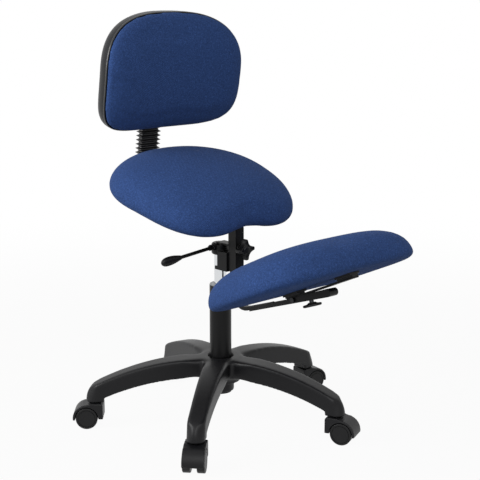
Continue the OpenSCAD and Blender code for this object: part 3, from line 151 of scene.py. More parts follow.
@dataclass(frozen=True)
class Finish:
    """A real material with the way its surface was made."""

    name: str
    colour: str
    roughness: float
    metallic: float = 0.0
    gloss: float = 0.5
    grain_mm: float = 1.0
    relief_mm: float = 0.03
    mottle: float = 0.08
    mottle_mm: float = 30.0

    def material(self) -> bpy.types.Material:
        """Build the finish once and give it back after that.

        Returns:
            The material.
        """
        known = bpy.data.materials.get(self.name)
        if known is not None:
            return known
        made = bpy.data.materials.new(self.name)
        made.use_nodes = True
        tree = made.node_tree
        tree.nodes.clear()
        shader = add_node(tree, "ShaderNodeBsdfPrincipled", {
            "Base Color": linear(self.colour), "Roughness": self.roughness, "Metallic": self.metallic,
            "Specular IOR Level": self.gloss})
        self.tune(shader)
        place = add_node(tree, "ShaderNodeTexCoord")
        colour = self.shade(tree, place, linear(self.colour))
        height = self.relief(tree, place)
        bump = add_node(tree, "ShaderNodeBump", {"Strength": 1.0, "Distance": self.relief_mm * MM}, {"Height": height})
        tree.links.new(colour, shader.inputs["Base Color"])
        tree.links.new(bump.outputs["Normal"], shader.inputs["Normal"])
        add_node(tree, "ShaderNodeOutputMaterial", None, {"Surface": shader.outputs[0]})
        return made

    def tune(self, shader: bpy.types.Node) -> None:
        """Set the shader's own constants; plain finishes need none."""

    def shade(self, tree: bpy.types.NodeTree, place: bpy.types.Node, colour: Sequence[float]) -> Socket:
        """Vary the colour in soft patches.

        Args:
            tree: Node tree of the material.
            place: Texture coordinates.
            colour: Linear colour of the finish.

        Returns:
            Colour socket.
        """
        cloud = add_node(tree, "ShaderNodeTexNoise", {"Scale": per_mm(self.mottle_mm), "Detail": 3.0},
                         {"Vector": place.outputs["Object"]})
        low = [c * (1 - self.mottle) for c in colour[:3]] + [1.0]
        high = [min(1.0, c * (1 + self.mottle)) for c in colour[:3]] + [1.0]
        mix = add_node(tree, "ShaderNodeMix", {"data_type": "RGBA", 6: low, 7: high}, {0: cloud.outputs["Fac"]})
        return mix.outputs[2]

    def relief(self, tree: bpy.types.NodeTree, place: bpy.types.Node) -> Socket:
        """Give the height of the surface's fine grain.

        Args:
            tree: Node tree of the material.
            place: Texture coordinates.

        Returns:
            Height socket.
        """
        grain = add_node(tree, "ShaderNodeTexNoise", {"Scale": per_mm(self.grain_mm), "Detail": 2.0},
                         {"Vector": place.outputs["Object"]})
        return grain.outputs["Fac"]


@dataclass(frozen=True)
class Moulded(Finish):
    """Moulded plastic: the tool's fine spark texture, with painted highlights that make its convex edges lighter."""

    # Strength of the painted edge highlights, the band of pointiness they cover, and how their lighter colour is made
    edge_highlight: float = 0.35
    edge_band: Flat = (0.51, 0.62)
    highlight_gain: float = 2.2
    highlight_lift: float = 0.02

    def shade(self, tree: bpy.types.NodeTree, place: bpy.types.Node, colour: Sequence[float]) -> Socket:
        """Paint highlights on the convex edges over the soft patches.

        Args:
            tree: Node tree of the material.
            place: Texture coordinates.
            colour: Linear colour of the finish.

        Returns:
            Colour socket.
        """
        patches = Finish.shade(self, tree, place, colour)
        # Painted highlights: convex edges, found by pointiness, are mixed towards a lighter colour
        shape = add_node(tree, "ShaderNodeNewGeometry")
        low, high = self.edge_band
        edge = add_node(tree, "ShaderNodeMapRange", {"From Min": low, "From Max": high, "To Max": self.edge_highlight},
                        {"Value": shape.outputs["Pointiness"]})
        pale = [min(1.0, c * self.highlight_gain + self.highlight_lift) for c in colour[:3]] + [1.0]
        mix = add_node(tree, "ShaderNodeMix", {"data_type": "RGBA", 7: pale},
                       {0: edge.outputs["Result"], 6: patches})
        return mix.outputs[2]


@dataclass(frozen=True)
class Woven(Finish):
    """Woven polyester: over-and-under threads, mixed yarn shades and a soft sheen of loose fibres."""

    thread_mm: float = 2.2
    yarn_mm: float = 3.6
    yarn_spread: float = 0.34
    yarn_band: Flat = (0.3, 0.7)
    glint_mm: float = 2.4
    glint: float = 0.42
    glint_band: Flat = (0.6, 0.74)
    fibre: str = "#8299c4"
    sheen: float = 0.09
    sheen_spread: float = 0.5

    def tune(self, shader: bpy.types.Node) -> None:
        """Set the sheen of the loose fibres."""
        shader.inputs["Sheen Weight"].default_value = self.sheen
        shader.inputs["Sheen Roughness"].default_value = self.sheen_spread
        shader.inputs["Sheen Tint"].default_value = linear(self.fibre)

    def shade(self, tree: bpy.types.NodeTree, place: bpy.types.Node, colour: Sequence[float]) -> Socket:
        """Mix lighter and darker yarns, with painted glints of the weave as pale specks, over broad, faint patches.

        Args:
            tree: Node tree of the material.
            place: Texture coordinates.
            colour: Linear colour of the cloth.

        Returns:
            Colour socket.
        """
        patches = Finish.shade(self, tree, place, colour)
        yarn = add_node(tree, "ShaderNodeTexNoise",
                        {"Scale": per_mm(self.yarn_mm), "Detail": 4.0, "Roughness": 0.7},
                        {"Vector": place.outputs["Object"]})
        level = add_node(tree, "ShaderNodeMapRange", {
            "From Min": self.yarn_band[0], "From Max": self.yarn_band[1],
            "To Min": 1 - self.yarn_spread, "To Max": 1 + self.yarn_spread}, {"Value": yarn.outputs["Fac"]})
        # Painted glints of the weave: pale specks added to the yarn shade
        spots = add_node(tree, "ShaderNodeTexNoise", {"Scale": per_mm(self.glint_mm), "Detail": 0.0},
                         {"Vector": place.outputs["Object"]})
        glint = add_node(tree, "ShaderNodeMapRange", {
            "From Min": self.glint_band[0], "From Max": self.glint_band[1], "To Max": self.glint},
            {"Value": spots.outputs["Fac"]})
        shade = add_node(tree, "ShaderNodeMath", {"operation": "ADD"},
                         {0: level.outputs["Result"], 1: glint.outputs["Result"]})
        tint = add_node(tree, "ShaderNodeVectorMath", {"operation": "SCALE"},
                        {0: patches, "Scale": shade.outputs[0]})
        return tint.outputs[0]

    def relief(self, tree: bpy.types.NodeTree, place: bpy.types.Node) -> Socket:
        """Raise and sink the threads, seen square on from each of the three directions.

        Args:
            tree: Node tree of the material.
            place: Texture coordinates.

        Returns:
            Height socket.
        """
        turns = 2 * math.pi / (2 * self.thread_mm * MM)
        spread = add_node(tree, "ShaderNodeVectorMath", {"operation": "SCALE", "Scale": turns},
                          {0: place.outputs["Object"]})
        waves = add_node(tree, "ShaderNodeVectorMath", {"operation": "SINE"}, {0: spread.outputs[0]})
        wave = add_node(tree, "ShaderNodeSeparateXYZ", None, {0: waves.outputs[0]})
        squared = add_node(tree, "ShaderNodeVectorMath", {"operation": "MULTIPLY"},
                           {0: place.outputs["Normal"], 1: place.outputs["Normal"]})
        crossed = add_node(tree, "ShaderNodeCombineXYZ")
        for axis, (one, two) in enumerate((("Y", "Z"), ("X", "Z"), ("X", "Y"))):
            weave = add_node(tree, "ShaderNodeMath", {"operation": "MULTIPLY"},
                             {0: wave.outputs[one], 1: wave.outputs[two]})
            tree.links.new(weave.outputs[0], crossed.inputs[axis])
        total = add_node(tree, "ShaderNodeVectorMath", {"operation": "DOT_PRODUCT"},
                         {0: squared.outputs[0], 1: crossed.outputs[0]})
        return total.outputs["Value"]


@dataclass(frozen=True)
class Ply(Finish):
    """Birch plywood: thin layers of veneer that turn light and dark through the board's thickness."""

    layer_mm: float = 1.6
    grain_long_mm: float = 40.0
    stretch: tuple[float, float, float] = (1.0, 12.0, 1.0)
    wander: float = 0.4
    late_wood: float = 0.6

    def shade(self, tree: bpy.types.NodeTree, place: bpy.types.Node, colour: Sequence[float]) -> Socket:
        """Draw the veneer layers with a long grain in them.

        Args:
            tree: Node tree of the material.
            place: Texture coordinates.
            colour: Linear colour of the wood.

        Returns:
            Colour socket.
        """
        along = add_node(tree, "ShaderNodeMapping", {"Scale": self.stretch}, {"Vector": place.outputs["Object"]})
        grain = add_node(tree, "ShaderNodeTexNoise", {"Scale": per_mm(self.grain_long_mm), "Detail": 5.0},
                         {"Vector": along.outputs[0]})
        layers = add_node(tree, "ShaderNodeTexWave", {
            "bands_direction": "Z", "Scale": per_mm(2 * self.layer_mm) / 3.14, "Distortion": self.wander},
            {"Vector": place.outputs["Object"]})
        both = add_node(tree, "ShaderNodeMath", {"operation": "MULTIPLY"},
                        {0: grain.outputs["Fac"], 1: layers.outputs["Fac"]})
        dark = [c * self.late_wood for c in colour[:3]] + [1.0]
        mix = add_node(tree, "ShaderNodeMix", {"data_type": "RGBA", 6: dark, 7: list(colour)}, {0: both.outputs[0]})
        return mix.outputs[2]


# Polyester upholstery, woven: matt mixed blue with painted glints as pale specks, and a faint bloom of loose fibres.
# Real threads are 0.9 mm apart; they are drawn 2.2 mm apart, and the painted glints 2.4 mm, so that they show
CLOTH = Woven("woven_polyester_blue", "#2c4372", 0.88, gloss=0.1, relief_mm=0.25, mottle=0.07, mottle_mm=60.0)
# Glass-filled nylon of the base and casters: satin, with the tool's spark texture and painted highlights on its edges
NYLON = Moulded("moulded_nylon_black", "#0f0f11", 0.4, gloss=0.22, grain_mm=0.9, relief_mm=0.05)
# Caster treads: harder nylon, a little smoother and darker, with faint painted highlights on their edges
TREAD = Moulded("moulded_nylon_wheel", "#121213", 0.42, gloss=0.2, grain_mm=1.2, relief_mm=0.02, edge_highlight=0.2)
# Powder coat on steel: an even skin with a faint orange peel
COAT = Finish("powder_coated_steel_black", "#0e0e0f", 0.36, gloss=0.16, grain_mm=2.2, relief_mm=0.05, mottle=0.05)
# Bright chrome over polished steel: a mirror with very fine drawing marks
CHROME = Finish("chromed_steel", "#d9dbdd", 0.09, metallic=1.0, grain_mm=6.0, relief_mm=0.004, mottle=0.02)
# Zinc plate on screws and pins: dull silver with a cloudy passivated skin
ZINC = Finish("zinc_plated_steel", "#a3a6aa", 0.34, metallic=1.0, grain_mm=1.5, relief_mm=0.01, mottle=0.12,
              mottle_mm=5.0)
# Black zinc on the tilting gear's bolt and screw: dark metal with a dull shine
BLACKED = Finish("black_zinc_steel", "#3a3b3d", 0.4, metallic=1.0, grain_mm=1.5, relief_mm=0.01, mottle=0.1,
                 mottle_mm=5.0)
# Acetal guide bush: waxy pale grey, turned smooth
BUSH = Finish("turned_acetal_grey", "#85888b", 0.4, grain_mm=1.0, relief_mm=0.01, mottle=0.04)
# Spun polypropylene lining stapled over a board's underside: matt, with a faint fibre grain
LINING = Finish("spun_lining_black", "#14151a", 0.9, gloss=0.1, grain_mm=0.7, relief_mm=0.05, mottle=0.12,
                mottle_mm=4.0)
# Birch plywood boards, cut and left bare under the cloth
BOARD = Ply("birch_plywood", "#b08d5c", 0.6, grain_mm=0.8, relief_mm=0.05)
# ABS shell behind the backrest: near black and dull, with a fine leather-like tool grain and faint painted highlights
# on its edges
SHELL = Moulded("moulded_abs_shell", "#141518", 0.4, gloss=0.14, grain_mm=1.6, relief_mm=0.06, edge_highlight=0.2)
# Soft PVC of the bellows and the edge trim: black and slightly waxy, with painted highlights along the folds
RUBBER = Moulded("moulded_soft_pvc", "#0f0f10", 0.3, gloss=0.6, edge_highlight=0.8, grain_mm=0.8, relief_mm=0.02, mottle=0.1,
                 mottle_mm=12.0)


# Mesh tools


def settle(piece: Piece) -> None:
    """Turn a piece's modifiers into its plain mesh."""
    bpy.context.view_layer.update()
    graph = bpy.context.evaluated_depsgraph_get()
    old = piece.data
    piece.data = bpy.data.meshes.new_from_object(piece.evaluated_get(graph))
    piece.modifiers.clear()
    bpy.data.meshes.remove(old)


def new_piece(name: str, points: Sequence[Sequence[float]], faces: Sequence[Sequence[int]]) -> Piece:
    """Make an object from points in metres.

    Args:
        name: Name of the piece.
        points: Corners.
        faces: Corner numbers of each face.

    Returns:
        The new object, shaded smooth.
    """
    mesh = bpy.data.meshes.new(name)
    mesh.from_pydata([tuple(p) for p in points], [], [tuple(f) for f in faces])
    mesh.validate()
    shape = bmesh.new()
    shape.from_mesh(mesh)
    bmesh.ops.recalc_face_normals(shape, faces=shape.faces)
    shape.to_mesh(mesh)
    shape.free()
    mesh.shade_smooth()
    piece = bpy.data.objects.new(name, mesh)
    bpy.context.scene.collection.objects.link(piece)
    return piece


def ring_faces(rings: int, count: int, wrap: bool = False) -> Iterator[tuple[int, int, int, int]]:
    """Yield the quads between neighbouring rings.

    Args:
        rings: Number of rings.
        count: Points in each ring.
        wrap: Whether the last ring joins the first.

    Yields:
        Corner numbers of one quad.
    """
    for k in range(rings if wrap else rings - 1):
        below, above = k * count, ((k + 1) % rings) * count
        for i in range(count):
            j = (i + 1) % count
            yield (below + i, below + j, above + j, above + i)


def loft(name: str, rings: Sequence[Sequence[Point]], tips: Optional[tuple[Point, Point]], place: Matrix) -> Piece:
    """Skin a row of rings given in millimetres.

    Args:
        name: Name of the piece.
        rings: Rings of equal count.
        tips: Points that close the two ends, or None where the last ring joins the first.
        place: Placement in the shared frame, in millimetres.

    Returns:
        The new object.
    """
    count = len(rings[0])
    points = [p for ring in rings for p in ring]
    faces: list[tuple[int, ...]] = list(ring_faces(len(rings), count, tips is None))
    if tips is not None:
        first, last, top = len(points), len(points) + 1, (len(rings) - 1) * count
        points += list(tips)
        faces += [(first, (i + 1) % count, i) for i in range(count)]
        faces += [(last, top + i, top + (i + 1) % count) for i in range(count)]
    return new_piece(name, [MM * (place @ Vector(p)) for p in points], faces)


def turned(degrees: float, axis: str) -> Matrix:
    """Give a turn about one axis as a matrix."""
    return Matrix.Rotation(math.radians(degrees), 4, axis)


def signed_power(value: float, power: float) -> float:
    """Raise a number's size to a power and keep its sign."""
    return math.copysign(abs(value) ** power, value)


def bell(x: float, width: float) -> float:
    """Give a smooth hump of height 1 and the width asked for."""
    return math.exp(-((x / width) ** 2))


def dome(rho: float, power: float) -> float:
    """Give the height of a dome from its middle (1) to its rim (0)."""
    return math.sqrt(max(0.0, 1 - rho ** power))


def squared(turn: float, half: float, ahead: float, behind: float, n_ahead: float, n_behind: float) -> Flat:
    """Give a point on a rounded, squarish outline.

    Args:
        turn: Turn round the outline, in radians.
        half: Half width.
        ahead: Reach where the turn's sine is negative.
        behind: Reach where it is positive.
        n_ahead: Squareness of the first half.
        n_behind: Squareness of the second half.

    Returns:
        The point.
    """
    back = math.sin(turn) >= 0
    power = 2 / (n_behind if back else n_ahead)
    return (half * signed_power(math.cos(turn), power),
            (behind if back else ahead) * signed_power(math.sin(turn), power))


def shares(steps: int, ease: float = 2.4) -> list[float]:
    """Give ring sizes that crowd towards the rim.

    Args:
        steps: Number of rings.
        ease: How strongly they crowd.

    Returns:
        Shares of the outline from near the middle to near the rim.
    """
    return [1 - (1 - k / (steps + 1)) ** ease for k in range(1, steps + 1)]


@dataclass(frozen=True)
class Stuffing:
    """Foam under stretched cloth, puffed up by a short cloth simulation."""

    voxel_mm: float = 5.5
    pressure: float = 4.0
    cap_mm: float = 7.0
    bending: float = 5.0
    slide: float = 0.3
    weight: float = 0.3
    quality: int = 5
    last_frame: int = 20
    easing: int = 10

    def fill(self, piece: Piece, held: Callable[[Vector], bool]) -> None:
        """Puff a cushion up under its cloth.

        Args:
            piece: Cushion, starting slightly too small.
            held: Tells whether a point is stapled to the board.
        """
        even = piece.modifiers.new("even", "REMESH")
        even.mode = "VOXEL"
        even.voxel_size = self.voxel_mm * MM
        settle(piece)
        self.simulate(piece, held)
        ease = piece.modifiers.new("ease", "SMOOTH")
        ease.iterations = self.easing
        finer = piece.modifiers.new("finer", "SUBSURF")
        finer.levels = finer.render_levels = 1
        settle(piece)
        piece.data.shade_smooth()

    def simulate(self, piece: Piece, held: Callable[[Vector], bool]) -> None:
        """Run the cloth, let the foam hold it out, and keep each point within the cap.

        Args:
            piece: Remeshed cushion.
            held: Tells whether a point is stapled to the board.
        """
        scene = bpy.context.scene
        mesh = piece.data
        pins = piece.vertex_groups.new(name="held")
        pins.add([v.index for v in mesh.vertices if held(v.co)], 1.0, "REPLACE")
        cloth = piece.modifiers.new("cloth", "CLOTH")
        cloth.settings.quality = self.quality
        cloth.settings.mass = self.weight
        cloth.settings.use_pressure = True
        cloth.settings.uniform_pressure_force = self.pressure
        cloth.settings.vertex_group_mass = "held"
        cloth.settings.bending_stiffness = self.bending
        cloth.settings.effector_weights.gravity = 0.0
        cloth.collision_settings.use_collision = False
        cloth.point_cache.frame_start = 1
        cloth.point_cache.frame_end = self.last_frame
        for frame in range(1, self.last_frame + 1):
            scene.frame_set(frame)
        graph = bpy.context.evaluated_depsgraph_get()
        puffed = piece.evaluated_get(graph).to_mesh()
        moves = [puffed.vertices[v.index].co - v.co for v in mesh.vertices]
        piece.evaluated_get(graph).to_mesh_clear()
        piece.modifiers.remove(cloth)
        piece.vertex_groups.clear()
        outward = [v.normal.copy() for v in mesh.vertices]
        for vertex, move, normal in zip(mesh.vertices, moves, outward):
            lift = move.dot(normal)
            vertex.co += min(max(lift, 0.0), self.cap_mm * MM) * normal + self.slide * (move - lift * normal)
        scene.frame_set(1)


@dataclass
class Bench:
    """Bench where pieces are dressed and put on their bodies."""

    nodes: Mapping[str, Piece]
    weld_mm: float = 0.02
    sharp: float = 38.0
    segments: int = 3
    join_mm: float = 0.01
    easing: float = 0.5

    def keep(self, node: str, finish: Finish, edge_mm: float = 0.0) -> None:
        """Leave a CAD node showing, with a finish and softened edges.

        Args:
            node: Name of the node.
            finish: Its finish.
            edge_mm: Width of the softened edges, or none.
        """
        piece = self.nodes[node]
        for place in piece.material_slots:
            place.material = finish.material()
        if not piece.material_slots:
            piece.data.materials.append(finish.material())
        if edge_mm > 0:
            weld = piece.modifiers.new("weld", "WELD")
            weld.merge_threshold = self.weld_mm * MM
            bevel = piece.modifiers.new("softened", "BEVEL")
            bevel.width = edge_mm * MM
            bevel.segments = self.segments
            bevel.limit_method = "ANGLE"
            bevel.angle_limit = math.radians(self.sharp)
            bevel.harden_normals = True

    def put(self, piece: Piece, finish: Finish, body: Optional[Body], slot: str, *stands_for: str) -> Piece:
        """Dress a new piece and put it on its body.

        Args:
            piece: The piece, in its place.
            finish: Its finish.
            body: Body that carries it, or None.
            slot: Material slot of the record; not used.
            stands_for: CAD nodes that it replaces.

        Returns:
            The piece.
        """
        piece.data.materials.clear()
        piece.data.materials.append(finish.material())
        if body is not None:
            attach(piece, body.value)
        if stands_for:
            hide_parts(*stands_for)
        LOG.info("%s: %d faces", piece.name, len(piece.data.polygons))
        return piece

    def softened(self, name: str, node: str, voxel_mm: float, passes: int) -> Piece:
        """Copy a CAD node as one mould would make it, with every edge rounded.

        Args:
            name: Name of the new piece.
            node: CAD node to follow.
            voxel_mm: Size of the mesh.
            passes: How often the mesh is eased.

        Returns:
            The new piece.
        """
        source = self.nodes[node].data
        piece = new_piece(name, [v.co for v in source.vertices], [p.vertices for p in source.polygons])
        join = bmesh.new()
        join.from_mesh(piece.data)
        bmesh.ops.remove_doubles(join, verts=join.verts, dist=self.join_mm * MM)
        join.to_mesh(piece.data)
        join.free()
        even = piece.modifiers.new("even", "REMESH")
        even.mode = "VOXEL"
        even.voxel_size = voxel_mm * MM
        ease = piece.modifiers.new("ease", "SMOOTH")
        ease.factor = self.easing
        ease.iterations = passes
        settle(piece)
        piece.data.shade_smooth()
        return piece


# Sub-assemblies


@dataclass
class StarBase:
    """Moulded five-arm base with its casters."""

    arms: int = 5
    first_arm: float = -52.44
    reach: float = 292.0
    tip_half: float = 20.0
    tip_low: float = 64.0
    tip_high: float = 100.0
    tip_passes: int = 60
    tip_lean: float = 0.5
    tip_narrow: float = 0.7
    tip_curl: float = 0.7
    tip_ease_mm: float = 14.0
    tip_fade_up_mm: float = 8.0
    tip_fade_out_mm: float = 10.0
    voxel_mm: float = 1.7
    passes: int = 14
    housing_voxel_mm: float = 1.5
    housing_passes: int = 4
    arm_start: float = 60.0
    crest: float = 156.0
    drop: float = 53.0
    bend: float = 2.05
    rounded: float = 24.0
    rounded_fade_mm: float = 6.0
    back_passes: int = 60
    blend_from_mm: float = 36.0
    blend_to_mm: float = 95.0
    blend_in_mm: float = 14.0
    blend_out_mm: float = 30.0
    blend_passes: int = 110
    blend_low_mm: float = 100.0
    mouth: float = 30.0
    mouth_edge: float = 1.6
    mouth_deep: float = 9.0

    def build(self, bench: Bench) -> None:
        """Build the base and dress the casters."""
        base = bench.softened("star_base_moulding", "star_base", self.voxel_mm, self.passes)
        self.cone_tips(base)
        self.blend_hub(base)
        self.sink_mouth(base)
        bench.put(base, NYLON, Body.BASE, "moulded_black", "star_base")
        bench.keep("caster_stems", ZINC)
        for k in range(1, self.arms + 1):
            housing = bench.softened(f"caster_{k}_housing", f"caster_{k}_body", self.housing_voxel_mm,
                                     self.housing_passes)
            housing.data.materials.append(NYLON.material())
            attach(housing, f"caster_{k}")
            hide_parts(f"caster_{k}_body")
            for side in ("left", "right"):
                bench.keep(f"caster_{k}_{side}_wheel", TREAD)
        LOG.info("base and %d casters dressed", self.arms)

    def top_at(self, out: float) -> float:
        """Give the height of an arm's back at a distance from the column."""
        share = min(max((out - self.arm_start) / (self.reach - self.arm_start), 0.0), 1.0)
        return self.crest - self.drop * share ** self.bend

    def cone_tips(self, base: Piece) -> None:
        """Draw the arms' ends in towards the top, so that each ends in half a cone over its caster."""
        for k in range(self.arms):
            turn = math.radians(self.first_arm + 360 / self.arms * k)
            along = Vector((math.sin(turn), -math.cos(turn), 0.0))
            across = Vector((along.y, -along.x, 0.0))
            for vertex in base.data.vertices:
                out = vertex.co.dot(along) / MM - self.reach
                rise = (vertex.co.z / MM - self.tip_low) / (self.tip_high - self.tip_low)
                if out < 0 or rise < 0:
                    continue
                rise = min(rise, 1.0)
                end = min(out / self.tip_half, 1.0)
                vertex.co -= along * (self.tip_lean * rise ** 2 * out * MM)
                vertex.co -= across * (self.tip_narrow * rise * end ** self.tip_curl * vertex.co.dot(across))

    def sink_mouth(self, base: Piece) -> None:
        """Sink the ring of the hub's top that the tube stands in."""
        near = [(math.hypot(v.co.x, v.co.y) / MM, v) for v in base.data.vertices]
        rim = max(v.co.z for out, v in near if out < self.mouth) / MM
        for out, vertex in near:
            inward = min(max((self.mouth - out) / self.mouth_edge, 0.0), 1.0)
            upper = min(max((vertex.co.z / MM - rim) / (2 * self.mouth_deep) + 1, 0.0), 1.0)
            vertex.co.z -= self.mouth_deep * inward * upper * MM

    def blend_hub(self, base: Piece) -> None:
        """Ease the corners between the arms into the wide curves of the mould."""
        zone, ends = base.vertex_groups.new(name="hub"), base.vertex_groups.new(name="tips")
        backs = base.vertex_groups.new(name="backs")
        for vertex in base.data.vertices:
            out, high = math.hypot(vertex.co.x, vertex.co.y) / MM, vertex.co.z / MM
            deep = self.top_at(out) - high
            if out > self.blend_from_mm + self.blend_in_mm and deep < self.rounded:
                backs.add([vertex.index], min((self.rounded - deep) / self.rounded_fade_mm, 1.0), "REPLACE")
            past = out - self.reach + self.tip_ease_mm
            if high > self.tip_low and past > 0:
                fade = min((high - self.tip_low) / self.tip_fade_up_mm, past / self.tip_fade_out_mm, 1.0)
                ends.add([vertex.index], fade, "REPLACE")
            if high < self.blend_low_mm or not self.blend_from_mm < out < self.blend_to_mm:
                continue
            ramp = min((out - self.blend_from_mm) / self.blend_in_mm, (self.blend_to_mm - out) / self.blend_out_mm, 1.0)
            zone.add([vertex.index], ramp, "REPLACE")
        for group, passes in (("backs", self.back_passes), ("hub", self.blend_passes), ("tips", self.tip_passes)):
            ease = base.modifiers.new("ease", "SMOOTH")
            ease.vertex_group = group
            ease.iterations = passes
        settle(base)
        base.vertex_groups.clear()
        base.data.shade_smooth()


@dataclass
class LobedKnob:
    """Knob with four lobes between round hollows, a raised rim and a sunk face."""

    radius: float
    height: float
    neck_radius: float = 9.0
    neck: float = 5.0
    hollow_at: float = 1.35
    hollow: float = 0.8
    soft: float = 1.2
    rim_below: tuple[Flat, ...] = ((0.93, 0.0), (0.98, 0.7), (1.0, 2.4))
    rim_above: tuple[Flat, ...] = ((1.0, -2.4), (0.985, -0.9), (0.95, -0.1), (0.91, 0.0), (0.87, -0.5), (0.84, -1.8))
    face: tuple[Flat, ...] = ((8.6, -2.0), (8.0, -0.6), (7.0, 0.0), (4.0, 0.2))

    def reach(self, turn: float) -> float:
        """Give the outline's distance from the middle.

        Args:
            turn: Turn from a hollow, in radians.

        Returns:
            Distance in millimetres.
        """
        quarter = math.pi / 2
        away = (turn + quarter / 2) % quarter - quarter / 2
        centre, size = self.hollow_at * self.radius, self.hollow * self.radius
        inside = size ** 2 - (centre * math.sin(away)) ** 2
        cut = centre * math.cos(away) - math.sqrt(inside) if inside > 0 else self.radius
        return -self.soft * math.log(math.exp(-cut / self.soft) + math.exp(-self.radius / self.soft))

    def mesh(self, name: str, place: Matrix) -> Piece:
        """Build the knob along +Z from its neck.

        Args:
            name: Name of the piece.
            place: Placement in millimetres.

        Returns:
            The knob.
        """
        top = self.neck + self.height
        edge = [(k, self.neck + z) for k, z in self.rim_below] + [(k, top + z) for k, z in self.rim_above]
        turns = [2 * math.pi * i / FACETS for i in range(FACETS)]
        rings = [[(r * math.cos(t), r * math.sin(t), z) for t in turns]
                 for r, z in ((self.neck_radius, 0.0), (self.neck_radius, self.neck - 1.0))]
        rings += [[(k * self.reach(t) * math.cos(t), k * self.reach(t) * math.sin(t), z) for t in turns]
                  for k, z in edge]
        rings += [[(r * math.cos(t), r * math.sin(t), top + z) for t in turns] for r, z in self.face]
        return loft(name, rings, ((0, 0, 0), (0, 0, top + self.face[-1][1])), place)


@dataclass(frozen=True)
class WingKnob:
    """Knob with two rounded wings under a round neck."""

    half_long: float = 20.5
    half_wide: float = 9.5
    thick: float = 7.0
    high: float = 9.0
    neck: float = 8.0
    square: float = 2.6
    face: tuple[Flat, ...] = ((0.45, 0.9), (0.66, 0.8), (0.74, 0.2), (0.86, 0.0), (0.94, 0.5), (0.985, 1.5), (1.0, 3.0))
    back: tuple[Flat, ...] = ((0.995, -3.0), (0.97, -2.1), (0.9, -1.5), (0.8, -1.2))
    flare: Flat = (0.62, -0.9)
    flare_steps: tuple[float, ...] = (0.0, 0.35, 0.65, 0.85, 1.0)
    flare_curl: float = 1.6

    def wings(self, share: float, z: float) -> list[Point]:
        """Give a ring of the wings."""
        wide = self.half_wide
        outline = (squared(2 * math.pi * i / FACETS, self.half_long, wide, wide, self.square, self.square)
                   for i in range(FACETS))
        return [(share * x, share * y, z) for x, y in outline]

    def mesh(self, name: str, place: Matrix) -> Piece:
        """Build the knob along +Z from its face.

        Args:
            name: Name of the piece.
            place: Placement in millimetres.

        Returns:
            The knob.
        """
        rings = [self.wings(share, z) for share, z in self.face]
        rings += [self.wings(share, self.thick + z) for share, z in self.back]
        flare = self.wings(self.flare[0], self.thick + self.flare[1])
        for mix in self.flare_steps:
            ring = []
            for x, y, z in flare:
                out = math.hypot(x, y)
                near = out + (self.neck - out) * mix
                ring.append((x * near / out, y * near / out, z + (self.high - z) * mix ** self.flare_curl))
            rings.append(ring)
        return loft(name, rings, ((0, 0, self.face[0][1]), (0, 0, self.high)), place)


@dataclass
class Column:
    """Fixed tube, guide bush and gas spring."""

    steel: tuple[str, ...] = ("thrust_bearing", "retaining_clip", "piston", "valve_pin", "lever_pin")
    bright: tuple[str, ...] = ("gas_cylinder", "piston_rod")

    def build(self, bench: Bench) -> None:
        """Dress the column's nodes."""
        bench.keep("column_tube", COAT)
        bench.keep("column_bush", BUSH)
        bench.keep("cylinder_gland", RUBBER)
        for node in self.steel:
            bench.keep(node, ZINC)
        for node in self.bright:
            bench.keep(node, CHROME)
        LOG.info("column dressed")


@dataclass
class Bracket:
    """Cast socket, square sleeve, clamp knob and release lever under the seat."""

    knob: LobedKnob = field(default_factory=lambda: LobedKnob(24.5, 14.0))
    knob_turn: float = 42.0
    knob_back: float = 70.8
    knob_z: float = 421.0
    lever_x: float = 24.0
    lever_z: float = 416.0
    lever_slope: float = 5.0
    lever: float = 94.0
    grip: tuple[tuple[float, float, float], ...] = (
        (0.0, 4.6, 4.6), (0.5, 5.2, 5.2), (4.0, 5.9, 5.6), (10.0, 7.4, 6.0), (18.0, 9.2, 6.4), (27.0, 10.3, 6.6),
        (35.0, 10.6, 6.6), (42.0, 10.1, 6.5), (47.0, 8.9, 6.0), (50.5, 7.2, 5.1), (53.0, 5.1, 3.8), (54.5, 2.7, 2.0))
    grip_end: float = 55.0
    grip_count: int = 48
    voxel_mm: float = 1.0
    passes: int = 3

    def grip_mesh(self, name: str) -> Piece:
        """Build the lever's grip, flat like a drop, from its neck to its round end.

        Args:
            name: Name of the piece.

        Returns:
            The grip.
        """
        place = (Matrix.Translation((-self.lever_x, 0, self.lever_z)) @ turned(-self.lever_slope, "Y")
                 @ Matrix.Translation((-self.lever, 0, 0)))
        turns = [2 * math.pi * i / self.grip_count for i in range(self.grip_count)]
        rings = [[(-at, thick * math.cos(t), -tall * math.sin(t)) for t in turns] for at, tall, thick in self.grip]
        return loft(name, rings, ((0, 0, 0), (-self.grip_end, 0, 0)), place)

    def build(self, bench: Bench) -> None:
        """Build the castings, the knob and the grip."""
        socket = bench.softened("mechanism_casting", "mechanism_bracket", self.voxel_mm, self.passes)
        bench.put(socket, COAT, Body.FRAME, "painted_black", "mechanism_bracket")
        place = Matrix.Translation((0, -self.knob_back, self.knob_z)) @ turned(self.knob_turn, "Y") @ turned(90, "X")
        bench.put(self.knob.mesh("clamp_star_knob", place), NYLON, Body.CLAMP, "moulded_black", "clamp_knob")
        grip = self.grip_mesh("lever_oval_grip")
        bench.put(grip, NYLON, Body.LEVER, "moulded_black", "lever_grip")
        bench.keep("post_sleeve", COAT, edge_mm=1.6)
        bench.keep("release_lever", COAT)
        bench.keep("clamp_screw", ZINC)
        bench.keep("seat_screws", ZINC)
        LOG.info("bracket dressed")


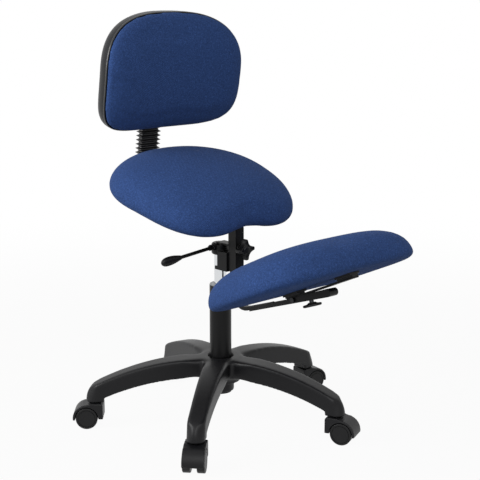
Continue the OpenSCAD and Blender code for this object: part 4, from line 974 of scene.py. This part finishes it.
@dataclass
class Seat:
    """Saddle seat: a cushion with two front lobes on a plywood board."""

    half: float = 229.0
    front: float = 181.5
    back: float = 179.0
    thick: float = 78.5
    crown: float = 12.0
    notch: float = 13.3
    notch_width: float = 60.0
    side_drop: float = 19.5
    front_drop: float = 28.0
    back_drop: float = 12.0
    pommel: float = 9.0
    pocket_top: float = -30.7
    square: Flat = (3.1, 2.2)
    shoulder: float = 6.0
    narrowing: float = 0.16
    thinning: float = 0.12
    press: float = 0.8
    pocket_shares: tuple[float, ...] = (0.3, 0.55, 0.78)
    under_shares: tuple[float, ...] = (0.81, 0.85, 0.89, 0.93, 0.96, 0.98, 0.993)
    stapled_rise: float = 4.0
    stapled_share: float = 0.86
    plate_voxel_mm: float = 1.2
    plate_passes: int = 2
    plate_under: float = -46.3
    plate_front: float = 135.0
    plate_back: float = 96.0
    rib: float = 10.0
    rib_taper: float = 42.0
    spread: float = 0.7
    shrink: float = 2.0
    y: float = 57.0
    z: float = 550.0
    tilt: float = 15.4
    stuffing: Stuffing = Stuffing(cap_mm=5.0)

    def outline(self, turn: float) -> Flat:
        """Give a point on the seat's outline in plan."""
        x, y = squared(turn, self.half, self.front, self.back, *self.square)
        x *= 1 - self.narrowing * (self.back - y) / (self.front + self.back)
        return x, y + (self.notch * bell(x, self.notch_width) if y < 0 else 0.0)

    def droop(self, x: float, y: float) -> float:
        """Give how far the saddle sinks or rises at a place."""
        ahead, behind = max(0.0, -y / self.front), max(0.0, y / self.back)
        return (-self.side_drop * (x / self.half) ** 2 - self.front_drop * ahead ** 2
                + self.pommel * bell(x, self.notch_width) * ahead ** 2 - self.back_drop * behind ** 2)

    def ring(self, rho: float, upper: bool, shrink: float) -> list[Point]:
        """Give one ring of the cushion.

        Args:
            rho: Share of the outline.
            upper: Whether the ring is on the upper side.
            shrink: How much smaller the unstuffed cushion is.

        Returns:
            Points in the seat's own frame.
        """
        ring = []
        for i in range(FACETS):
            x, y = self.outline(2 * math.pi * i / FACETS)
            x, y = rho * x, rho * y
            level = (self.thick / 2) * dome(rho, self.shoulder)
            level = level + self.crown * (1 - rho * rho) if upper else -level
            sunk = shrink * self.press if upper else 0.0
            z = level * (1 - self.thinning * -y / self.front) + self.droop(x, y) - sunk
            part = 1 + self.spread / self.half
            ring.append((x * part, y * part, z))
        return ring

    def build(self, bench: Bench) -> None:
        """Build the cushion and dress its board."""
        shrink = self.shrink
        place = Matrix.Translation((0, self.y, self.z)) @ turned(self.tilt, "X")
        flats = [[(x * k, y * k, self.pocket_top) for x, y in
                  (self.outline(2 * math.pi * i / FACETS) for i in range(FACETS))] for k in self.pocket_shares]
        rings = flats + [self.ring(r, False, shrink) for r in self.under_shares]
        rings += [self.ring(1.0, True, shrink)] + [self.ring(r, True, shrink) for r in reversed(shares(18))]
        top = self.thick / 2 + self.crown - shrink * self.press
        cushion = loft("seat_cushion_cover", rings, ((0, 0, self.pocket_top), (0, 0, top)), place)
        back = place.inverted()

        def stapled(point: Vector) -> bool:
            """Tell whether a point lies on the board."""
            spot = back @ (point / MM)
            inner = math.hypot(spot.x / self.half, spot.y / self.front) < self.stapled_share
            return spot.z < self.pocket_top + self.stapled_rise and inner

        self.stuffing.fill(cushion, stapled)
        bench.put(cushion, CLOTH, Body.FRAME, "blue_fabric", "seat_cushion")
        bench.keep("seat_board", BOARD)
        plate = self.pressing(bench, place)
        bench.put(plate, COAT, Body.FRAME, "painted_black", "seat_plate")

    def pressing(self, bench: Bench, place: Matrix) -> Piece:
        """Draw the seat plate with rounded edges, its side ribs running out towards both ends.

        Args:
            bench: Bench with the CAD's nodes.
            place: Placement of the seat.

        Returns:
            The plate.
        """
        plate = bench.softened("seat_plate_pressing", "seat_plate", self.plate_voxel_mm, self.plate_passes)
        back = place.inverted()
        for vertex in plate.data.vertices:
            spot = back @ (vertex.co / MM)
            inward = max(0.0, min(spot.y + self.plate_front, self.plate_back - spot.y))
            spot.z = max(spot.z, self.plate_under - self.rib * min(1.0, inward / self.rib_taper))
            vertex.co = (place @ spot) * MM
        return plate


@dataclass
class KneeRest:
    """Knee pad on its bars, with the tilting gear under it."""

    half: float = 230.9
    front: float = 152.8
    back: float = 149.9
    crown: float = 66.0
    under: float = 13.1
    belly: float = 16.0
    side_drop: float = 2.3
    square: Flat = (3.2, 3.4)
    shoulder: float = 4.34
    thinning: float = 0.048
    press: float = 0.8
    flat_shares: tuple[float, ...] = (0.3, 0.55, 0.75)
    under_shares: tuple[float, ...] = (0.86, 0.91, 0.945, 0.97, 0.985, 0.995)
    stapled_rise: float = 3.0
    wrap: float = 0.4
    spread: float = 1.8
    shrink: float = 2.0
    y: float = -292.3
    z: float = 393.7
    tilt: float = -24.3
    arm_y: float = 110.0
    arm_z: float = 286.6
    arm_slope: float = 18.7
    screw_at: float = 186.0
    screw_drop: float = 14.0
    wing_turn: float = 40.0
    knob: WingKnob = WingKnob()
    stuffing: Stuffing = Stuffing(cap_mm=5.0)

    def ring(self, rho: float, upper: bool, shrink: float) -> list[Point]:
        """Give one ring of the cushion.

        Args:
            rho: Share of the outline.
            upper: Whether the ring is on the upper side.
            shrink: How much smaller the unstuffed cushion is.

        Returns:
            Points in the pad's own frame.
        """
        ring = []
        for i in range(FACETS):
            x, y = squared(2 * math.pi * i / FACETS, self.half, self.front, self.back, *self.square)
            x, y = rho * x, rho * y
            over = self.crown * dome(rho, self.shoulder) * (1 - self.thinning * y / self.front) - shrink * self.press
            z = over if upper else -self.under * dome(rho, self.belly)
            part = 1 + self.spread / self.half
            ring.append((x * part, y * part, z - self.side_drop * (x / self.half) ** 2))
        return ring

    def wing_place(self) -> Matrix:
        """Place the tilt knob, drawn upwards from its face, under the arm."""
        arm = Matrix.Translation((0, -self.arm_y, self.arm_z)) @ turned(-self.arm_slope, "X")
        return arm @ Matrix.Translation((0, -self.screw_at, -self.screw_drop)) @ turned(-self.wing_turn, "Z")

    def build(self, bench: Bench) -> None:
        """Build the cushion and dress the gear."""
        shrink = self.shrink
        place = Matrix.Translation((0, self.y, self.z)) @ turned(self.tilt, "X")
        floor = -self.under - self.wrap
        flats = [[(x, y, z - self.wrap) for x, y, z in self.ring(r, False, shrink)] for r in self.flat_shares]
        rings = flats + [self.ring(r, False, shrink) for r in self.under_shares]
        rings += [self.ring(r, True, shrink) for r in reversed(shares(20, 3.0))]
        cushion = loft("knee_cushion_cover", rings, ((0, 0, floor), (0, 0, self.crown - shrink * self.press)), place)
        back = place.inverted()

        def stapled(point: Vector) -> bool:
            """Tell whether a point is pulled flat under the board."""
            spot = back @ (point / MM)
            return spot.z + self.side_drop * (spot.x / self.half) ** 2 < floor + self.stapled_rise

        self.stuffing.fill(cushion, stapled)
        bench.put(cushion, CLOTH, Body.KNEE_PAD, "blue_fabric", "knee_cushion", "knee_board")
        for node in ("knee_post", "knee_bar", "knee_arm", "tilt_bar"):
            bench.keep(node, COAT, edge_mm=0.7)
        bench.keep("knee_screws", ZINC)
        for node in ("tilt_screw", "tilt_bolt"):
            bench.keep(node, BLACKED)
        bench.keep("pad_blocks", NYLON, edge_mm=1.0)
        knob = self.knob.mesh("tilt_wing_knob", self.wing_place())
        bench.put(knob, NYLON, Body.TILT_HANDLE, "moulded_black", "tilt_knob")
        LOG.info("knee rest dressed")


@dataclass
class Backrest:
    """Back cushion in its shell, on a spine with bellows."""

    half: float = 199.4
    up: float = 136.2
    down: float = 133.4
    rim: float = 0.4
    gap: float = 0.6
    cushion: float = 36.4
    shell: float = 51.7
    wall: float = 3.0
    bulge: float = 26.0
    bulge_width: float = 70.0
    curve: float = 21.7
    roll: float = 15.8
    y: float = 173.2
    z: float = 799.5
    lean: float = 7.5
    spine_depth: float = 60.6
    bellows_w: float = 61.0
    bellows_d: float = 27.0
    play: float = 2.0
    rib: float = 6.0
    ribs: int = 9
    low: float = 220.0
    high: float = 128.5
    trim: float = 1.7
    trim_at: float = 1.6
    trim_half: float = 2.6
    trim_proud: float = 0.4
    groove: float = 3.6
    square: Flat = (4.5, 2.7)
    shoulder: float = 4.5
    press: float = 0.8
    under_shares: tuple[float, ...] = (0.3, 0.6, 0.82, 0.94, 0.97)
    stapled_rise: float = 2.5
    shell_shoulder: float = 9.0
    ledge: float = -9.3
    lip: Flat = (0.982, 0.9)
    inner_shares: tuple[float, ...] = (0.86, 0.8, 0.72, 0.6, 0.46, 0.3, 0.15)
    hole: float = 5.0
    hole_ends: Flat = (-110.0, -60.0)
    cut_facets: int = 32
    slot_square: float = 4.0
    rib_square: float = 6.0
    rib_steps: int = 12
    rib_curl: float = 1.1
    crease: float = 50.0
    cuff: tuple[tuple[float, float, float], ...] = ((20.5, 6.0, 7.5), (19.5, 4.6, 6.5), (19.5, 4.6, 0.0))
    knob_gap: float = 0.3
    knob_turn: float = 45.0
    shrink: float = 1.5
    knob: LobedKnob = field(default_factory=lambda: LobedKnob(22.0, 15.0))
    stuffing: Stuffing = Stuffing(voxel_mm=5.0, cap_mm=4.0)

    def place(self) -> Matrix:
        """Place a piece drawn with X across, Y up and Z towards the sitter."""
        return Matrix.Translation((0, self.y, self.z)) @ turned(self.lean, "X") @ turned(90, "X")

    def outline(self, i: int, inset: float, count: int = FACETS) -> Flat:
        """Give a point on the backrest's outline."""
        return squared(2 * math.pi * i / count, self.half - inset, self.down - inset, self.up - inset, *self.square)

    def warp(self, x: float, y: float) -> float:
        """Give the backrest's hollow across and roll up and down."""
        return self.curve * (x / self.half) ** 2 - self.roll * (y / self.up) ** 2

    def flat_ring(self, rho: float, z: float, inset: float) -> list[Point]:
        """Give a ring that follows the backrest's curve at one level."""
        spots = ((rho * x, rho * y) for x, y in (self.outline(i, inset) for i in range(FACETS)))
        return [(x, y, z + self.warp(x, y)) for x, y in spots]

    def shell_ring(self, rho: float, depth: float) -> list[Point]:
        """Give a ring of the shell's domed back."""
        spots = ((rho * x, rho * y) for x, y in (self.outline(i, 0.0) for i in range(FACETS)))
        level = dome(rho, self.shell_shoulder)
        return [(x, y, self.warp(x, y) - level * (depth + self.bulge * bell(x, self.bulge_width))) for x, y in spots]

    def build(self, bench: Bench) -> None:
        """Build the cushion, shell, trim, bellows and knob."""
        self.build_cushion(bench)
        self.build_shell(bench)
        self.build_trim(bench)
        self.build_bellows(bench)
        place = self.place() @ Matrix.Translation((0, 0, -(self.shell + self.bulge + self.knob_gap)))
        place = place @ turned(180, "X") @ turned(self.knob_turn, "Z")
        bench.put(self.knob.mesh("back_star_knob", place), NYLON, Body.BACK_HANDLE, "moulded_black", "back_knob")
        bench.keep("back_board", LINING)
        bench.keep("back_spine", COAT, edge_mm=0.8)
        bench.keep("back_carrier", COAT, edge_mm=0.5)
        for node in ("spine_bolts", "back_screws", "back_knob_screw"):
            bench.keep(node, ZINC)
        LOG.info("backrest dressed")

    def build_cushion(self, bench: Bench) -> None:
        """Build the back cushion."""
        shrink = self.shrink
        high = self.cushion - shrink * self.press
        rings = [self.flat_ring(k, self.gap, self.rim) for k in self.under_shares]
        for rho in [1.0] + list(reversed(shares(18, 2.8))):
            lift = self.gap + self.groove + (high - self.groove) * dome(rho, self.shoulder)
            rings.append(self.flat_ring(rho, lift, self.rim))
        cushion = loft("back_cushion_cover", rings, ((0, 0, self.gap), (0, 0, self.gap + high)), self.place())
        back = self.place().inverted()

        def stapled(point: Vector) -> bool:
            """Tell whether a point lies on the board."""
            spot = back @ (point / MM)
            return spot.z - self.warp(spot.x, spot.y) < self.gap + self.stapled_rise

        self.stuffing.fill(cushion, stapled)
        bench.put(cushion, CLOTH, Body.BACKREST, "blue_fabric", "back_cushion")

    def build_shell(self, bench: Bench) -> None:
        """Build the shell with the openings for the bellows and the knob's screw."""
        outer = [self.shell_ring(k, self.shell) for k in shares(16, 2.2)]
        lip, ledge = self.lip
        edge = [self.flat_ring(k, z, 0) for k, z in
                ((1.0, -self.wall), (1.0, 0), (lip, 0), (lip, self.ledge), (ledge, self.ledge))]
        inner = [self.shell_ring(k, self.shell - self.wall) for k in self.inner_shares]
        tips = ((0, 0, -self.shell - self.bulge), (0, 0, self.wall - self.shell - self.bulge))
        shell = loft("back_shell_moulding", outer + edge + inner, tips, self.place())
        wide, deep = self.bellows_w / 2 + self.play, self.bellows_d / 2 + self.play
        turns = [2 * math.pi * i / self.cut_facets for i in range(self.cut_facets)]
        round_slot = (squared(t, wide, deep, deep, self.slot_square, self.slot_square) for t in turns)
        slot = self.cutter([(x, y - self.spine_depth) for x, y in round_slot], "slot")
        far, near = self.hole_ends
        hole_rings = [[(self.hole * math.cos(t), self.hole * math.sin(t), z) for t in turns] for z in (far, near)]
        hole = loft("hole", hole_rings, ((0, 0, far), (0, 0, near)), self.place())
        for tool in (slot, hole):
            cut = shell.modifiers.new("cut", "BOOLEAN")
            cut.operation = "DIFFERENCE"
            cut.solver = "EXACT"
            cut.object = tool
            settle(shell)
            bpy.data.objects.remove(tool)
        shell.data.shade_smooth()
        shell.data.set_sharp_from_angle(angle=math.radians(self.crease))
        bench.put(shell, SHELL, Body.BACKREST, "shell_plastic", "back_shell")

    def cutter(self, corners: Sequence[Flat], name: str) -> Piece:
        """Build the block that cuts the bellows' slot.

        Args:
            corners: X and depth of its corners.
            name: Name of the block.

        Returns:
            The block.
        """
        low, high, middle = -1.5 * self.down, -self.down / 2, -self.spine_depth
        rings = [[(x, y, z) for x, z in corners] for y in (low, high)]
        return loft(name, rings, ((0, low, middle), (0, high, middle)), self.place())

    def build_trim(self, bench: Bench) -> None:
        """Run the black edge trim between the shell and the cushion."""
        rings = []
        for k in range(self.rib_steps):
            turn = 2 * math.pi * k / self.rib_steps
            inset = self.trim * (1 - math.cos(turn)) - self.trim_proud
            rings.append(self.flat_ring(1.0, self.trim_at + self.trim_half * math.sin(turn), inset))
        trim = loft("back_edge_trim", rings, None, self.place())
        bench.put(trim, RUBBER, Body.BACKREST, "bellows_rubber")

    def build_bellows(self, bench: Bench) -> None:
        """Build the ribbed sleeve between the frame and the backrest."""
        steps = self.rib_steps * self.ribs
        length = self.low - self.high
        rings = []
        for k in range(steps + 1):
            inset = self.rib * abs(math.cos(math.pi * k / self.rib_steps)) ** self.rib_curl
            rings.append(self.bellows_ring(self.bellows_w / 2 - inset, self.bellows_d / 2 - inset,
                                           -self.low + length * k / steps))
        rings.append(self.bellows_ring(*self.cuff[0][:2], -self.high))
        rings += [self.bellows_ring(wide, deep, -self.low + up) for wide, deep, up in self.cuff]
        bellows = loft("spine_bellows_sleeve", rings, None, self.place())
        bench.put(bellows, RUBBER, None, "bellows_rubber", "spine_bellows")
        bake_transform(bellows)

    def bellows_ring(self, wide: float, deep: float, v: float) -> list[Point]:
        """Give one rounded ring of the bellows."""
        turns = (math.pi * i / self.cut_facets for i in range(2 * self.cut_facets))
        ring = (squared(turn, wide, deep, deep, self.rib_square, self.rib_square) for turn in turns)
        return [(x, v, -y - self.spine_depth) for x, y in ring]


# Studio


@dataclass(frozen=True)
class Lamp:
    """One soft lamp, placed by how far right, behind and above the stool it stands."""

    name: str
    right: float
    behind: float
    height: float
    size: float
    power: float


@dataclass
class Studio:
    """Pale floor, soft lamps and the photograph's camera."""

    focal_px: float = 1156.15
    frame_px: float = 480.0
    distance: float = 2.5641
    height: float = 0.9942
    view_turn: float = 42.0
    tilt: float = 0.21674
    pan: float = 0.017522
    sensor_mm: float = 36.0
    aim_at: Point = (0.0, 0.0, 0.45)
    floor_half: float = 90.0
    floor_grey: str = "#a8a8a8"
    floor_white: float = 0.95
    floor_reach: Flat = (0.8, 2.6)
    ambient: float = 0.32
    lamps: tuple[Lamp, ...] = (
        Lamp("key_softbox", -2.7, -1.0, 1.8, 1.8, 80.0),
        Lamp("front_softbox", 0.4, -2.9, 2.0, 2.2, 52.0),
    )

    def axes(self) -> tuple[Vector, Vector]:
        """Give the directions to the image's right and away from the camera."""
        turn = math.radians(self.view_turn)
        away = Vector((math.sin(turn), math.cos(turn), 0.0))
        return Vector((away.y, -away.x, 0.0)), away

    def build(self) -> None:
        """Build the studio."""
        self.aim_camera()
        self.lay_floor()
        self.light_world()
        for lamp in self.lamps:
            self.hang(lamp)
        bpy.context.scene.view_settings.view_transform = "Standard"
        LOG.info("studio ready")

    def aim_camera(self) -> None:
        """Put the camera where the photograph was taken from."""
        right, away = self.axes()
        data = bpy.data.cameras.new("camera")
        data.sensor_width = self.sensor_mm
        data.sensor_fit = "HORIZONTAL"
        data.lens = self.focal_px / self.frame_px * self.sensor_mm
        camera = bpy.data.objects.new("camera", data)
        camera.location = Vector((0, 0, self.height)) - self.distance * away
        ahead = math.cos(self.tilt) * (math.sin(self.pan) * right + math.cos(self.pan) * away)
        ahead.z = -math.sin(self.tilt)
        camera.rotation_euler = ahead.to_track_quat("-Z", "Y").to_euler()
        bpy.context.scene.collection.objects.link(camera)
        bpy.context.scene.camera = camera

    def seen(self, tree: bpy.types.NodeTree) -> Socket:
        """Tell rays that look at the background from those that light the stool."""
        path = add_node(tree, "ShaderNodeLightPath")
        some = add_node(tree, "ShaderNodeMath", {"operation": "MAXIMUM"},
                        {0: path.outputs["Is Camera Ray"], 1: path.outputs["Is Glossy Ray"]})
        total = add_node(tree, "ShaderNodeMath", {"operation": "MAXIMUM"},
                         {0: some.outputs[0], 1: path.outputs["Is Transmission Ray"]})
        return total.outputs[0]

    def lay_floor(self) -> None:
        """Lay a wide pale floor that keeps the stool's shadow and turns white further out."""
        wide = self.floor_half
        floor = new_piece("floor", [(-wide, -wide, 0), (wide, -wide, 0), (wide, wide, 0), (-wide, wide, 0)],
                          [(0, 1, 2, 3)])
        paper = bpy.data.materials.new("studio_paper_white")
        paper.use_nodes = True
        tree = paper.node_tree
        tree.nodes.clear()
        matt = add_node(tree, "ShaderNodeBsdfDiffuse", {"Color": linear(self.floor_grey)})
        bright = add_node(tree, "ShaderNodeEmission", {"Color": (1, 1, 1, 1), "Strength": 1.0})
        spot = add_node(tree, "ShaderNodeNewGeometry")
        out = add_node(tree, "ShaderNodeVectorMath", {"operation": "LENGTH"}, {0: spot.outputs["Position"]})
        white = add_node(tree, "ShaderNodeMapRange", {
            "interpolation_type": "SMOOTHSTEP", "From Min": self.floor_reach[0], "From Max": self.floor_reach[1],
            "To Min": self.floor_white, "To Max": 1.0}, {"Value": out.outputs["Value"]})
        share = add_node(tree, "ShaderNodeMath", {"operation": "MULTIPLY"},
                         {0: self.seen(tree), 1: white.outputs["Result"]})
        mix = add_node(tree, "ShaderNodeMixShader", None,
                       {0: share.outputs[0], 1: matt.outputs[0], 2: bright.outputs[0]})
        add_node(tree, "ShaderNodeOutputMaterial", None, {"Surface": mix.outputs[0]})
        floor.data.materials.append(paper)

    def light_world(self) -> None:
        """Surround the stool with soft light and a white background."""
        world = bpy.data.worlds.new("studio")
        world.use_nodes = True
        tree = world.node_tree
        tree.nodes.clear()
        dim = add_node(tree, "ShaderNodeBackground", {"Color": (1, 1, 1, 1), "Strength": self.ambient})
        white = add_node(tree, "ShaderNodeBackground", {"Color": (1, 1, 1, 1), "Strength": 1.0})
        mix = add_node(tree, "ShaderNodeMixShader", None, {0: self.seen(tree), 1: dim.outputs[0], 2: white.outputs[0]})
        add_node(tree, "ShaderNodeOutputWorld", None, {"Surface": mix.outputs[0]})
        bpy.context.scene.world = world

    def hang(self, lamp: Lamp) -> None:
        """Hang one lamp and point it at the stool."""
        right, away = self.axes()
        data = bpy.data.lights.new(lamp.name, "AREA")
        data.size = lamp.size
        data.energy = lamp.power
        holder = bpy.data.objects.new(lamp.name, data)
        holder.location = lamp.right * right + lamp.behind * away + Vector((0, 0, lamp.height))
        holder.rotation_euler = (Vector(self.aim_at) - holder.location).to_track_quat("-Z", "Y").to_euler()
        bpy.context.scene.collection.objects.link(holder)


def corners(box: Sequence[Sequence[float]]) -> list[list[float]]:
    """Turn a pair of corners into plain lists."""
    return [[float(v) for v in corner] for corner in box]


def main() -> None:
    """Build the studio and every sub-assembly in order."""
    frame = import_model()
    bench = Bench(frame["nodes"])
    Studio().build()
    for part in (StarBase(), Column(), Bracket(), Seat(), KneeRest(), Backrest()):
        part.build(bench)
        LOG.info("%s done", type(part).__name__)


if __name__ == "__main__":
    logging.basicConfig(level=logging.INFO)
    main()
